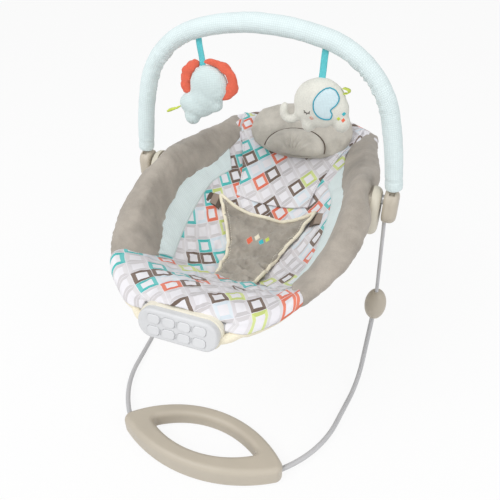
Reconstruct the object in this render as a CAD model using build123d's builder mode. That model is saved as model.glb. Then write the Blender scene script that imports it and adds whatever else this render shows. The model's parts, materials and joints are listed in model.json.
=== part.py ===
from build123d import *
import os
from math import cos, radians, sin, tan

# Infant bouncer seat: an eye-shaped foot ring, two spring-wire legs with egg-shaped
# clamps, a padded seat slung in a tube frame, a vibrating control unit in its nose
# and a pivoting toy bar with two hanging soft toys.
# Millimetres, +Z up, front (the baby's feet) towards -Y, left and right about X = 0.
# The origin lies on the floor under the middle of the whole object.

# ---- driving dimensions -------------------------------------------------------
exit_y = -259.0            # where the leg wires leave the foot ring
soft_gap = 0.4             # clearance between a soft part and what it lies on
fit_gap = 0.1              # clearance of moulded pieces that are pushed together
run_gap = 0.06             # radial clearance of pins and shafts that turn

# foot ring
ring_half_length = 142.0   # centre to the corners of a blunt end
ring_end_bulge = 5.0
ring_corner_r = 12.0
ring_front = 60.0          # front edge, ahead of the leg exits
ring_front_bar = 30.0
ring_front_corner = 18.0
ring_rear = 67.0           # rear edge, behind the leg exits
ring_rear_bar = 26.0
ring_rear_corner = 5.0
hole_half_length = 102.0
hole_tip_r = 8.0
tip_inset_factor = 1.6     # the pointed tips of the hole move more than its sides
ring_front_height = 41.0
ring_rear_height = 27.0
ring_top_r = 9.5
ring_bottom_r = 4.0
sole_thick = 3.0
sole_inset = 5.0
foot_pad_thick = 1.6
foot_pad_r = 5.0
foot_pad_plug = 2.0
foot_pad_x = 70.0
pad_inset = 0.9            # pads and screws lie this share of the bar's width in from its edge
sole_screw_x = 40.0
screw_inset = 0.6
screw_r = 1.5
screw_head_r = 3.0
screw_head = 1.6
screw_length = 9.0

# legs, egg clamps and uprights
leg_r = 4.4
leg_exit = (142.5, exit_y, 15.0)
leg_insert = 20.0
leg_elbow = (196.0, exit_y + 58.0, 11.0)
leg_heel = (223.5, exit_y + 243.0, 2.2)
leg_elbow_r = 230.0
leg_heel_r = 58.0
egg_at = (227.5, exit_y + 291.0, 168.0)
egg_length = 63.0
egg_r = 19.5
egg_lean = 7.0             # degrees that the egg's axis leans back
egg_part_gap = 0.3         # parting line of its two halves
egg_core = 4.0             # each wire stops this far from the egg's middle
egg_screw_x = 11.5
rod_r = 3.2
rod_top_x = 218.0
rod_in_pod = 17.0

# hubs and toy-bar knuckles, from the seat outwards
hub_y = exit_y + 285.0
pod_in_x = 213.0
pod_thick = 23.5
pod_length = 38.0          # front to back
pod_height = 58.0
pod_top_z = 408.0
pod_inner_edge_r = 6.0
pod_outer_edge_r = 10.5
tongue_thick = 8.0
tongue_gap = 0.4
tongue_r = 15.0
neck_room = 25.0           # degrees of slot each side of the neck, past the bar's travel
bar_forward, bar_back = 15.0, 45.0   # degrees that the bar swings
pin_r = 4.0
pin_head_r = 7.0
pin_head = 3.0
pin_chamfer = 1.0
cover_in_x = 194.5
cover_thick = 14.5
cover_height = 86.0
cover_length = 64.0
cover_z = 366.0
cover_edge_r = 11.5
cover_wall = 2.4
cover_rim = 8.0            # solid rim round the cover's hollow
hub_in_x = 166.0
hub_half_length = 30.0
hub_half_height = 12.0
hub_edge_r = 5.0
tube_end_gap = 8.0         # tube end to the pin's middle

# toy bar
bar_r = 8.0
bar_wall = 1.2
bar_height = 256.0         # pivot to the middle of the bar at its apex
bar_lean = 2.6             # degrees forward
bar_foot = 25.0            # lower end of the tube over the pivot
bar_top_turn = 16.3        # degrees turned by each arc of one side, from the apex down
bar_shoulder_turn = 57.7
bar_side_turn = 8.0
bar_shoulder_r = 147.0
bar_side_r = 590.0
sleeve_r = 14.5
sleeve_past_tube = 1.0
plug_length = 26.0
collar_thick = 3.6
neck_width = 12.0
neck_past_pod = 2.5
sleeve_notch_r = 26.0      # the sleeve is cut back this far from the pivot beside the cover

# hanging toys
ribbon_turn = 15.4         # degrees from the apex to where a ribbon is looped on
ribbon_width = 11.0
ribbon_thick = 1.0
loop_gap = 0.8             # slack of the ribbon's loop round the sleeve
ribbon_drop = 38.0         # below the sleeve
# stuffed lumps of each toy: sideways and down from the ribbon, half width, depth and height
elephant_lumps = [
    (0, 39, 41, 18, 39),
    (11, 47, 33, 15, 24),
    (-36, 64, 14, 9, 11),
    (-44, 68, 12, 8, 9),
    (-57, 58, 8, 8, 13),
    (-15, 70, 13, 12, 17),
    (36, 65, 13, 12, 16),
]
lion_lumps = [
    (10, 33, 33, 17, 33),
    (-14, 66, 32, 15, 22),
    (-23, 87, 14, 12, 15),
    (18, 63, 15, 11, 13),
]
ball_seam_turn = (20, 30, 75)   # degrees; keeps the lumps' seams apart where they meet
mane_at = (11.0, 36.0)
mane_r = 39.5
mane_thick_r = 8.0
mane_end = 50.0            # the mane is open below this, down from the ribbon
mane_parting = 1.0         # room each side of the ribbon where the mane parts

# seat frame
tube_r = 7.0
tube_wall = 1.2
roll_r = 21.0
roll_nose_r = 12.0         # the roll tapers towards the nose
nose_y = exit_y - 18.0
nose_z = 320.0
nose_corner = (92.0, nose_y, nose_z)
nose_corner_r = 44.0
calf = (164.0, exit_y + 84.0, nose_z + 29.0)
calf_r = 120.0
thigh = (180.0, exit_y + 186.0, 372.0)
thigh_r = 150.0
seat_hub_z = 389.0
hub_x = 178.0
shoulder = (172.0, exit_y + 410.0, 392.0)
shoulder_r = 170.0
head_corner = (126.0, exit_y + 538.0, 385.0)
head_corner_r = 60.0
head_top = (0.0, exit_y + 560.0, 412.0)
head_top_r = 190.0
roll_start = 32.0          # seat-edge padding starts this far past the nose corner

# seat sling, one row per station: distance behind the leg exits, half width,
# height of its edge and height of its middle
sling_thick = 12.0
sling_knees = [(0.8, 0.42), (0.42, 0.9)]   # share of the half width, share of the sag there
sling_rows = [
    (-20, 76, 335, 342),
    (10, 108, 337, 334),
    (45, 130, 338, 312),
    (100, 146, 342, 275),
    (163, 155, 346, 249),
    (230, 159, 366, 243),
    (300, 156, 381, 267),
    (370, 152, 384, 312),
    (440, 140, 387, 352),
    (500, 116, 391, 380),
    (534, 84, 396, 393),
]
headrest_size = (206.0, 100.0, 34.0)
headrest_y = exit_y + 504.0
headrest_z = 384.0
headrest_tilt = 24.0
headrest_edge_r = 12.0
headrest_round = 3.0       # the headrest's width over its corner radius
pillow_length = 130.0
pillow_width = 54.0
pillow_thick = 14.0
pillow_drop = 21.0         # down the headrest from its middle
pillow_edge_r = 9.0
pad_thick = 14.0
pad_rows = [(163, 36), (215, 44), (255, 53), (292, 74), (326, 96)]
strap_width = 25.0
strap_thick = 2.0
strap_reach = 34.0
strap_from_top = 4.0       # strap below the upper corners of the pad
buckle_pad_in = 4.0        # buckle from the inner end of the strap
buckle_size = (20.0, 31.0, 6.0)

# control unit in the nose
unit_size = (120.0, 45.0)
unit_corner_r = 21.0
unit_tilt = 12.0           # degrees that the face looks up
unit_y = exit_y - 45.0
unit_z = 318.0
unit_wall = 2.4
face_depth = 12.0
face_edge_r = 4.0
bezel_depth = 10.0
bezel_proud = 2.5
back_depth = 22.0
back_inset = 1.0
columns, rows = 4, 2
button_pitch_x, button_pitch_y = 23.0, 18.0
button_size = (18.5, 13.5)
button_corner_r = 5.0
button_proud = 1.5
button_edge_r = 1.2
button_gap = 0.4
button_travel = 1.2
flange_width = 1.2
flange_thick = 1.2
stem_length = 1.2
stem_r = 2.0
groove_size = (1.4, 9.0)
groove_depth = 0.8
board_size = (102.0, 30.0, 1.6)
board_post = (48.0, 10.0)   # the face's posts that carry the board
board_post_r = 2.2
bay_size = (58.0, 21.0, 45.6)
bay_drop = 5.0             # bay below the face's lower edge
bay_overhang = 14.0        # bay behind the back housing
cell_r = 6.7
cell_length = 50.5
cell_count = 3
door_thick = 2.0
door_room = 1.0            # between the cells' space and the door
door_border = 3.5
door_pin_r = 0.8
door_pin_reach = 2.0
motor_r = 6.0
motor_length = 16.0
motor_at = (38.0, -8.0)
shaft_r = 1.0
weight_r = 5.0
weight_thick = 5.0
weight_gap = 1.0           # motor's end to the weight
speaker_r = 9.0
speaker_thick = 4.0

os.makedirs("parts", exist_ok=True)


def write(part, name):
    part.label = name
    export_step(part, f"parts/{name}.step")


def write_pair(part, name):
    """Write the right-hand piece and its mirror image."""
    write(part, f"{name}_right")
    write(mirror(part, about=Plane.YZ), f"{name}_left")


def write_both(part, name):
    """Write the right-hand piece and its mirror image as two solids of one node."""
    write(Compound(children=[*part.solids(), *mirror(part, about=Plane.YZ).solids()]), name)


def along(start, end, distance):
    """Point at a distance from start on the way to end."""
    start, end = Vector(*start), Vector(*end)
    return start + (end - start).normalized() * distance


def mirrored(point):
    x, y, z = point
    return (-x, y, z)


# ---- foot ring ------------------------------------------------------------------
ring_front_y = exit_y - ring_front
ring_rear_y = exit_y + ring_rear
ring_mid_y = exit_y + (ring_rear_corner - ring_front_corner) / 2
ring_base_z = foot_pad_thick


def ring_plan(inset):
    """Plan of the eye-shaped ring, drawn in by about inset on every side."""
    end = ring_half_length - inset
    tip = hole_half_length + tip_inset_factor * inset
    front, rear = exit_y - ring_front_corner + inset / 2, exit_y + ring_rear_corner - inset / 2
    with BuildSketch() as plan:
        with BuildLine():
            ThreePointArc((-end, front), (0, ring_front_y + inset), (end, front))
            ThreePointArc((end, front), (end + ring_end_bulge, ring_mid_y), (end, rear))
            ThreePointArc((end, rear), (0, ring_rear_y - inset), (-end, rear))
            ThreePointArc((-end, rear), (-end - ring_end_bulge, ring_mid_y), (-end, front))
        make_face()
        fillet(plan.vertices(), ring_corner_r - inset)
        with BuildSketch(mode=Mode.PRIVATE) as hole:
            with BuildLine():
                right, left = (tip, exit_y + ring_rear_corner), (-tip, exit_y + ring_rear_corner)
                ThreePointArc(left, (0, ring_front_y + ring_front_bar - inset), right)
                ThreePointArc(right, (0, ring_rear_y - ring_rear_bar + inset), left)
            make_face()
            fillet(hole.vertices(), hole_tip_r + inset)
        add(hole.sketch, mode=Mode.SUBTRACT)
    return plan.sketch


with BuildLine() as leg_line:
    FilletPolyline(
        along(leg_exit, leg_elbow, -leg_insert),
        leg_elbow,
        leg_heel,
        along(egg_at, leg_heel, egg_core),
        radius=[leg_elbow_r, leg_heel_r],
    )


def leg_bar(radius):
    with BuildPart() as bar:
        with BuildSketch(Plane(origin=leg_line.line @ 0, z_dir=leg_line.line % 0)):
            Circle(radius)
        sweep(path=leg_line.line)
    return bar.part


leg_hole = leg_bar(leg_r + fit_gap)
sole_pads = [(x, y) for x in (-foot_pad_x, foot_pad_x)
             for y in (ring_front_y + pad_inset * ring_front_bar, ring_rear_y - pad_inset * ring_rear_bar)]
sole_screws = [(x, y) for x in (-sole_screw_x, sole_screw_x)
               for y in (ring_front_y + screw_inset * ring_front_bar, ring_rear_y - screw_inset * ring_rear_bar)]
sole_top_z = ring_base_z + sole_thick
ring_slope = Plane(
    origin=(0, ring_front_y, ring_front_height),
    x_dir=(1, 0, 0),
    z_dir=(0, ring_front_height - ring_rear_height, ring_rear_y - ring_front_y),
)

with BuildPart() as foot_ring:
    with BuildSketch(Plane.XY.offset(ring_base_z)):
        add(ring_plan(0))
    extrude(amount=ring_front_height)
    split(bisect_by=ring_slope, keep=Keep.BOTTOM)
    fillet(foot_ring.faces().sort_by(Axis.Z)[-1].edges(), ring_top_r)
    fillet(foot_ring.faces().sort_by(Axis.Z)[0].edges(), ring_bottom_r)
    with BuildSketch(Plane.XY.offset(ring_base_z)):
        add(ring_plan(sole_inset))
    extrude(amount=sole_thick + fit_gap, mode=Mode.SUBTRACT)
    with Locations(*[(x, y, sole_top_z) for x, y in sole_screws]):
        Cylinder(screw_r + fit_gap, 2 * screw_length, mode=Mode.SUBTRACT)
    add(leg_hole, mode=Mode.SUBTRACT)
    add(mirror(leg_hole, about=Plane.YZ), mode=Mode.SUBTRACT)
write(foot_ring.part, "foot_ring")

with BuildPart() as foot_sole:
    with BuildSketch(Plane.XY.offset(ring_base_z)):
        add(ring_plan(sole_inset + fit_gap))
    extrude(amount=sole_thick)
    with BuildSketch(Plane.XY.offset(ring_base_z)):
        with Locations(*sole_pads):
            Circle(foot_pad_r - foot_pad_plug / 2)
    extrude(amount=foot_pad_plug, mode=Mode.SUBTRACT)
    with BuildSketch(Plane.XY.offset(ring_base_z)):
        with Locations(*sole_screws):
            Circle(screw_head_r + fit_gap)
    extrude(amount=screw_head, mode=Mode.SUBTRACT)
    with BuildSketch(Plane.XY.offset(ring_base_z)):
        with Locations(*sole_screws):
            Circle(screw_r + fit_gap)
    extrude(amount=sole_thick, mode=Mode.SUBTRACT)
write(foot_sole.part, "foot_sole")

with BuildPart() as foot_pads:
    with BuildSketch():
        with Locations(*sole_pads):
            Circle(foot_pad_r)
    extrude(amount=foot_pad_thick)
    with BuildSketch(Plane.XY.offset(foot_pad_thick)):
        with Locations(*sole_pads):
            Circle(foot_pad_r - foot_pad_plug / 2 - fit_gap)
    extrude(amount=foot_pad_plug - fit_gap)
write(foot_pads.part, "foot_pads")

with BuildPart() as sole_screw_set:
    with BuildSketch(Plane.XY.offset(ring_base_z)):
        with Locations(*sole_screws):
            Circle(screw_head_r)
    extrude(amount=screw_head - fit_gap)
    with BuildSketch(Plane.XY.offset(ring_base_z)):
        with Locations(*sole_screws):
            Circle(screw_r)
    extrude(amount=screw_length)
write(sole_screw_set.part, "sole_screws")

# ---- legs, egg clamps and uprights ---------------------------------------------
write_pair(leg_bar(leg_r), "leg")

pod_bottom_z = pod_top_z - pod_height
pivot_z = pod_top_z - pod_length / 2
rod_top = (rod_top_x, hub_y, pod_bottom_z + rod_in_pod)
rod_foot = along(egg_at, rod_top, egg_core)
rod_plane = Plane(origin=rod_foot, z_dir=Vector(*rod_top) - rod_foot)
rod_length = (Vector(*rod_top) - rod_foot).length


def rod_bar(radius, extra):
    with BuildPart() as bar:
        with BuildSketch(rod_plane):
            Circle(radius)
        extrude(amount=rod_length + extra)
    return bar.part


write_pair(rod_bar(rod_r, 0), "upright")

egg_axis = (0, sin(radians(egg_lean)), cos(radians(egg_lean)))
egg_plane = Plane(origin=egg_at, x_dir=(1, 0, 0),
                  z_dir=(0, -cos(radians(egg_lean)), sin(radians(egg_lean))))
rod_hole = rod_bar(rod_r + fit_gap, fit_gap)
leg_holes = (leg_hole, mirror(leg_hole, about=Plane.YZ))
rod_holes = (rod_hole, mirror(rod_hole, about=Plane.YZ))
egg_planes = (egg_plane, Plane(origin=mirrored(egg_at), x_dir=(1, 0, 0), z_dir=egg_plane.z_dir))


def egg_half(side, toward):
    """Front half (toward = 1) or rear half (toward = -1) of the egg clamp of one side."""
    plane = egg_planes[side]
    with BuildPart() as half:
        with BuildSketch(plane):
            with BuildLine():
                EllipticalCenterArc((0, 0), egg_r, egg_length / 2, start_angle=-90, arc_size=180)
                Line((0, egg_length / 2), (0, -egg_length / 2))
            make_face()
        revolve(axis=Axis(plane.origin, egg_axis))
        split(bisect_by=plane.offset(toward * egg_part_gap / 2), keep=Keep.TOP if toward > 0 else Keep.BOTTOM)
        add(leg_holes[side], mode=Mode.SUBTRACT)
        add(rod_holes[side], mode=Mode.SUBTRACT)
        with Locations(plane):
            with Locations((-egg_screw_x, 0), (egg_screw_x, 0)):
                Cylinder(screw_r + fit_gap, 2 * screw_length, mode=Mode.SUBTRACT)
        if toward < 0:
            with BuildSketch(plane.offset(screw_head - screw_length)):
                with Locations((-egg_screw_x, 0), (egg_screw_x, 0)):
                    Circle(screw_head_r + fit_gap)
            extrude(amount=-egg_length, mode=Mode.SUBTRACT)
    return half.part


for side, side_name in enumerate(("right", "left")):
    write(egg_half(side, 1), f"egg_front_{side_name}")
    write(egg_half(side, -1), f"egg_rear_{side_name}")

with BuildPart() as egg_screws:
    for plane in egg_planes:
        with BuildSketch(plane.offset(-screw_length)):
            with Locations((-egg_screw_x, 0), (egg_screw_x, 0)):
                Circle(screw_head_r)
        extrude(amount=screw_head - fit_gap)
        with BuildSketch(plane.offset(-screw_length)):
            with Locations((-egg_screw_x, 0), (egg_screw_x, 0)):
                Circle(screw_r)
        extrude(amount=2 * screw_length - 2 * fit_gap)
write(egg_screws.part, "egg_screws")

# ---- hub pods and pins ------------------------------------------------------------
pod_mid_x = pod_in_x + pod_thick / 2
pod_out_x = pod_in_x + pod_thick
pin_in_x = hub_in_x + hub_edge_r
cover_out_x = cover_in_x + cover_thick
side_plane = Plane(origin=(0, hub_y, pivot_z), x_dir=(0, 1, 0), z_dir=(1, 0, 0))


def slot_corner(lean):
    """Far corner of the pod's slot, at degrees of lean back from upright."""
    return (2 * pod_length * sin(radians(lean)), 2 * pod_length * cos(radians(lean)))


slot_front = slot_corner(-bar_forward - neck_room)
slot_back = slot_corner(bar_back + neck_room)


def pod_half(inner):
    """Inner or outer half of a pod, closed round the toy bar's tongue but for a slot on top."""
    start, end = (pod_in_x, pod_mid_x - fit_gap / 2) if inner else (pod_mid_x + fit_gap / 2, pod_out_x)
    with BuildPart() as half:
        with BuildSketch(side_plane.offset(start)):
            with Locations((0, (pod_length - pod_height) / 2)):
                RectangleRounded(pod_length, pod_height, pod_length / 2 - 0.01)
        extrude(amount=end - start)
        outside = half.faces().sort_by(Axis.X)[0 if inner else -1]
        fillet(outside.edges(), pod_inner_edge_r if inner else pod_outer_edge_r)
        with BuildSketch(side_plane.offset(pod_mid_x - tongue_thick / 2 - tongue_gap)):
            Circle(tongue_r + tongue_gap)
            Polygon((0, 0), slot_front, slot_back, align=None)
        extrude(amount=tongue_thick + 2 * tongue_gap, mode=Mode.SUBTRACT)
        add(rod_hole, mode=Mode.SUBTRACT)
        with BuildSketch(side_plane.offset(pin_in_x)):
            Circle(pin_r + run_gap)
        extrude(amount=pod_out_x - pin_in_x, mode=Mode.SUBTRACT)
        with BuildSketch(side_plane.offset(pod_out_x - pin_head)):
            Circle(pin_head_r + fit_gap)
        extrude(amount=pin_head, mode=Mode.SUBTRACT)
    return half.part


write_pair(pod_half(True), "pod_inner")
write_pair(pod_half(False), "pod_outer")

with BuildPart() as hub_pin:
    with BuildSketch(side_plane.offset(pin_in_x + soft_gap)):
        Circle(pin_r)
    extrude(amount=pod_out_x - pin_in_x - soft_gap - fit_gap)
    with BuildSketch(side_plane.offset(pod_out_x - pin_head + fit_gap)):
        Circle(pin_head_r)
    extrude(amount=pin_head - 2 * fit_gap)
    chamfer(hub_pin.faces().sort_by(Axis.X)[-1].edges(), pin_chamfer)
write_both(hub_pin.part, "hub_pins")

# ---- seat frame --------------------------------------------------------------------
front_hub = (hub_x, hub_y - tube_end_gap, seat_hub_z)
back_hub = (hub_x, hub_y + tube_end_gap, seat_hub_z)
front_points = [front_hub, thigh, calf, nose_corner]
back_points = [back_hub, shoulder, head_corner]

with BuildLine() as front_line:
    FilletPolyline(
        *front_points, *[mirrored(p) for p in reversed(front_points)],
        radius=[thigh_r, calf_r, nose_corner_r, nose_corner_r, calf_r, thigh_r],
    )
with BuildLine() as back_line:
    FilletPolyline(
        *back_points, head_top, *[mirrored(p) for p in reversed(back_points)],
        radius=[shoulder_r, head_corner_r, head_top_r, head_corner_r, shoulder_r],
    )


def ring_sweep(line, outer, inner):
    with BuildPart() as bar:
        with BuildSketch(Plane(origin=line @ 0, z_dir=line % 0)):
            Circle(outer)
            if inner:
                Circle(inner, mode=Mode.SUBTRACT)
        sweep(path=line)
    return bar.part


write(ring_sweep(front_line.line, tube_r, tube_r - tube_wall), "seat_tube_front")
write(ring_sweep(back_line.line, tube_r, tube_r - tube_wall), "seat_tube_back")
front_tube_hole = ring_sweep(front_line.line, tube_r + fit_gap, 0)
back_tube_hole = ring_sweep(back_line.line, tube_r + fit_gap, 0)
front_tube_room = ring_sweep(front_line.line, tube_r + soft_gap, 0)

with BuildPart() as seat_hub:
    with BuildSketch(Plane.YZ.offset(hub_in_x)):
        with Locations((hub_y, seat_hub_z)):
            RectangleRounded(2 * hub_half_length, 2 * hub_half_height, hub_half_height - 1)
    extrude(amount=cover_in_x - hub_in_x - fit_gap)
    fillet(seat_hub.faces().sort_by(Axis.X)[0].edges(), hub_edge_r)
    add(front_tube_hole, mode=Mode.SUBTRACT)
    add(back_tube_hole, mode=Mode.SUBTRACT)
    with BuildSketch(side_plane.offset(pin_in_x)):
        Circle(pin_r + fit_gap)
    extrude(amount=cover_in_x - pin_in_x, mode=Mode.SUBTRACT)
write_pair(seat_hub.part, "seat_hub")

with BuildPart() as side_cover:
    with BuildSketch(Plane.YZ.offset(cover_in_x)):
        with Locations((hub_y, cover_z)):
            Ellipse(cover_length / 2, cover_height / 2)
    extrude(amount=cover_thick)
    fillet(side_cover.faces().sort_by(Axis.X)[-1].edges(), cover_edge_r)
    with BuildSketch(Plane.YZ.offset(cover_in_x)):
        with Locations((hub_y, cover_z)):
            Ellipse(cover_length / 2 - cover_rim, cover_height / 2 - cover_rim)
    extrude(amount=cover_thick - cover_wall, mode=Mode.SUBTRACT)
    with BuildSketch(side_plane.offset(cover_in_x)):
        Circle(2 * pin_r)
    extrude(amount=cover_thick - cover_wall)
    with BuildSketch(side_plane.offset(cover_in_x)):
        Circle(pin_r + fit_gap)
    extrude(amount=pod_in_x - cover_in_x, mode=Mode.SUBTRACT)
write_pair(side_cover.part, "side_cover")

with BuildPart() as hub_spacer:
    with BuildSketch(side_plane.offset(cover_in_x + cover_thick + fit_gap)):
        Circle(2 * pin_r)
        Circle(pin_r + fit_gap, mode=Mode.SUBTRACT)
    extrude(amount=pod_in_x - cover_in_x - cover_thick - 2 * fit_gap)
write_both(hub_spacer.part, "hub_spacers")

# ---- toy bar ----------------------------------------------------------------------
# The top arc's radius and the straight leg's length bring the ends of the arch to the pods.
shoulder_start = radians(bar_top_turn)
side_start = shoulder_start + radians(bar_shoulder_turn)
leg_start = side_start + radians(bar_side_turn)
spread_left = (pod_mid_x - bar_shoulder_r * (sin(side_start) - sin(shoulder_start))
               - bar_side_r * (sin(leg_start) - sin(side_start)))
drop_left = (bar_height - bar_foot - bar_shoulder_r * (cos(shoulder_start) - cos(side_start))
             - bar_side_r * (cos(side_start) - cos(leg_start)))
top_slope = tan(shoulder_start / 2)
bar_leg = (drop_left - spread_left * top_slope) / (sin(leg_start) - cos(leg_start) * top_slope)
bar_top_r = (spread_left - bar_leg * cos(leg_start)) / sin(shoulder_start)
sleeve_leg = bar_leg + sleeve_past_tube
bar_plane = Plane(origin=(0, hub_y, pivot_z), x_dir=(1, 0, 0),
                  z_dir=(0, -cos(radians(bar_lean)), -sin(radians(bar_lean))))


def bar_curve(leg_length):
    """Middle line of the arch, its straight legs cut to a length."""
    with BuildLine(bar_plane) as arch:
        top = JernArc((0, bar_height), (1, 0), bar_top_r, -bar_top_turn)
        bend = JernArc(top @ 1, top % 1, bar_shoulder_r, -bar_shoulder_turn)
        side = JernArc(bend @ 1, bend % 1, bar_side_r, -bar_side_turn)
        Line(side @ 1, (side @ 1) + (side % 1) * leg_length)
        mirror(about=Plane.YZ)
    return arch.line


def arch_sweep(line, outer, inner):
    with BuildPart() as bar:
        with BuildSketch(Plane(origin=line @ 0, z_dir=line % 0)):
            Circle(outer)
            Circle(inner, mode=Mode.SUBTRACT)
        sweep(path=line)
    return bar.part


write(arch_sweep(bar_curve(bar_leg), bar_r, bar_r - bar_wall), "toy_bar_tube")
neck_length = pod_length / 2 + tongue_gap + neck_past_pod
with BuildPart() as toy_bar_sleeve:
    add(arch_sweep(bar_curve(sleeve_leg), sleeve_r, bar_r + soft_gap))
    with BuildSketch(side_plane.offset(-2 * pod_out_x)):
        Circle(pod_length / 2 + soft_gap)
    extrude(amount=4 * pod_out_x, mode=Mode.SUBTRACT)
    with BuildSketch(side_plane.offset(-cover_out_x - soft_gap)):
        Circle(sleeve_notch_r)
    extrude(amount=2 * cover_out_x + 2 * soft_gap, mode=Mode.SUBTRACT)
    for side in (-pod_mid_x, pod_mid_x):
        with BuildSketch(side_plane.offset(side - tongue_thick / 2 - soft_gap)):
            Rectangle(neck_width + 2 * soft_gap, neck_length + soft_gap, align=(Align.CENTER, Align.MIN))
        extrude(amount=tongue_thick + 2 * soft_gap, mode=Mode.SUBTRACT)
write(toy_bar_sleeve.part, "toy_bar_sleeve")

# the tongue at each end of the bar turns in its pod on the hub pin
leg_edge = bar_curve(bar_leg).edges().filter_by(GeomType.LINE).sort_by(Axis.X)[-1]
leg_bottom, leg_top = sorted((leg_edge @ 0, leg_edge @ 1), key=lambda point: point.Z)
leg_plane = Plane(origin=leg_bottom, x_dir=(0, 1, 0), z_dir=leg_top - leg_bottom)
with BuildPart() as bar_end:
    with BuildSketch(side_plane.offset(pod_mid_x - tongue_thick / 2)):
        Circle(tongue_r)
        Rectangle(neck_width, neck_length, align=(Align.CENTER, Align.MIN))
        Circle(pin_r + run_gap, mode=Mode.SUBTRACT)
    extrude(amount=tongue_thick)
    with BuildSketch(leg_plane.offset(-fit_gap)):
        Circle(bar_r)
    extrude(amount=-collar_thick)
    with BuildSketch(leg_plane.offset(-fit_gap)):
        Circle(bar_r - bar_wall - fit_gap)
    extrude(amount=plug_length)
write_pair(bar_end.part, "bar_end")


# ---- hanging toys -------------------------------------------------------------------
def ribbon_anchor():
    """Plane at the point of the bar where the right ribbon loops round it, z along the bar."""
    with BuildLine(bar_plane) as part_arch:
        JernArc((0, bar_height), (1, 0), bar_top_r, -ribbon_turn)
    arc = part_arch.edges()[0]
    outer_end = max((0, 1), key=lambda end: (arc @ end).X)
    tangent = arc % outer_end
    return Plane(origin=arc @ outer_end, z_dir=tangent if tangent.X > 0 else -tangent)


anchor = ribbon_anchor()
hang = anchor.origin
loop_in_r = sleeve_r + loop_gap
loop_out_r = loop_in_r + ribbon_thick
toy_top_z = hang.Z - loop_out_r - ribbon_drop


def ribbon_solid():
    with BuildPart() as tape:
        with BuildSketch(anchor.offset(-ribbon_width / 2)):
            Circle(loop_out_r)
            Circle(loop_in_r, mode=Mode.SUBTRACT)
        extrude(amount=ribbon_width)
        with BuildSketch(Plane.XY.offset(toy_top_z + soft_gap)):
            with Locations((hang.X, hang.Y)):
                Rectangle(ribbon_width, ribbon_thick)
        extrude(amount=hang.Z - loop_in_r - ribbon_thick / 2 - toy_top_z - soft_gap)
        with BuildSketch(anchor.offset(-ribbon_width)):
            Circle(loop_in_r)
        extrude(amount=2 * ribbon_width, mode=Mode.SUBTRACT)
    return tape.part


write_pair(ribbon_solid(), "ribbon")


def lump(x, across, down, wide, deep, tall):
    """One stuffed lump of a toy, placed by its ribbon."""
    ball = scale(Sphere(1, rotation=ball_seam_turn, mode=Mode.PRIVATE), by=(wide, deep, tall), mode=Mode.PRIVATE)
    return ball.moved(Location((x + across, hang.Y, toy_top_z - down)))


with BuildPart() as toy_elephant:
    for row in elephant_lumps:
        add(lump(hang.X, *row))
write(toy_elephant.part, "toy_elephant")

with BuildPart() as toy_lion:
    for row in lion_lumps:
        add(lump(-hang.X, *row))
write(toy_lion.part, "toy_lion")

with BuildPart() as toy_mane:
    with Locations(Location((-hang.X + mane_at[0], hang.Y, toy_top_z - mane_at[1]), (90, 0, 0))):
        Torus(mane_r, mane_thick_r)
    with Locations((-hang.X, hang.Y, toy_top_z)):
        Box(ribbon_width + 2 * mane_parting, 4 * mane_thick_r, 4 * mane_thick_r, mode=Mode.SUBTRACT)
    split(bisect_by=Plane.XY.offset(toy_top_z - mane_end), keep=Keep.TOP)
    for across, down, wide, deep, tall in lion_lumps:
        room = (wide + soft_gap, deep + soft_gap, tall + soft_gap)
        add(lump(-hang.X, across, down, *room), mode=Mode.SUBTRACT)
write(toy_mane.part, "toy_mane")

# ---- seat padding --------------------------------------------------------------------
face_tilt = radians(unit_tilt)
unit_plane = Plane(origin=(0, unit_y, unit_z), x_dir=(1, 0, 0), z_dir=(0, -cos(face_tilt), sin(face_tilt)))
unit_width, unit_height = unit_size
button_spots = [((c - (columns - 1) / 2) * button_pitch_x, (r - (rows - 1) / 2) * button_pitch_y)
                for r in range(rows) for c in range(columns)]
groove_spots = [((c + 1 - columns / 2) * button_pitch_x, (r - (rows - 1) / 2) * button_pitch_y)
                for r in range(rows) for c in range(columns - 1)]
bezel_back = -face_depth - bezel_depth
unit_back = bezel_back - back_depth
bay_top_y = -unit_height / 2 - bay_drop + bay_size[1]
bay_back = unit_back - bay_overhang
board_z = -unit_wall - button_travel - 2 * flange_thick - stem_length


def unit_outline(grow):
    RectangleRounded(unit_width + 2 * grow, unit_height + 2 * grow, unit_corner_r + grow)


with BuildPart() as unit_room:
    with BuildSketch(unit_plane.offset(unit_back - soft_gap)):
        unit_outline(soft_gap)
    extrude(amount=-unit_back)
    with BuildSketch(unit_plane.offset(bezel_back - soft_gap)):
        unit_outline(bezel_proud + soft_gap)
    extrude(amount=-bezel_back)
nose_start = along(nose_corner, calf, roll_start)
front_hub_stop = along(front_hub, thigh, hub_half_length - tube_end_gap + soft_gap)
back_hub_stop = along(back_hub, shoulder, hub_half_length - tube_end_gap + soft_gap)
with BuildLine() as front_roll_line:
    FilletPolyline(front_hub_stop, thigh, calf, nose_start, radius=[thigh_r, calf_r])
with BuildLine() as back_roll_line:
    FilletPolyline(
        back_hub_stop, shoulder, head_corner, head_top,
        *[mirrored(p) for p in (head_corner, shoulder, back_hub_stop)],
        radius=[shoulder_r, head_corner_r, head_top_r, head_corner_r, shoulder_r],
    )
with BuildPart() as hub_room:
    for side in (-cover_out_x, cover_in_x - soft_gap):
        with BuildSketch(Plane.YZ.offset(side)):
            with Locations((hub_y, cover_z)):
                Ellipse(cover_length / 2 + soft_gap, cover_height / 2 + soft_gap)
        extrude(amount=cover_thick + soft_gap)
        with BuildSketch(Plane.YZ.offset(min(side, cover_in_x - 2 * hub_half_length))):
            with Locations((hub_y, seat_hub_z)):
                Rectangle(2 * hub_half_length + 2 * soft_gap, 2 * hub_half_height + 2 * soft_gap)
        extrude(amount=2 * hub_half_length)


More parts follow.
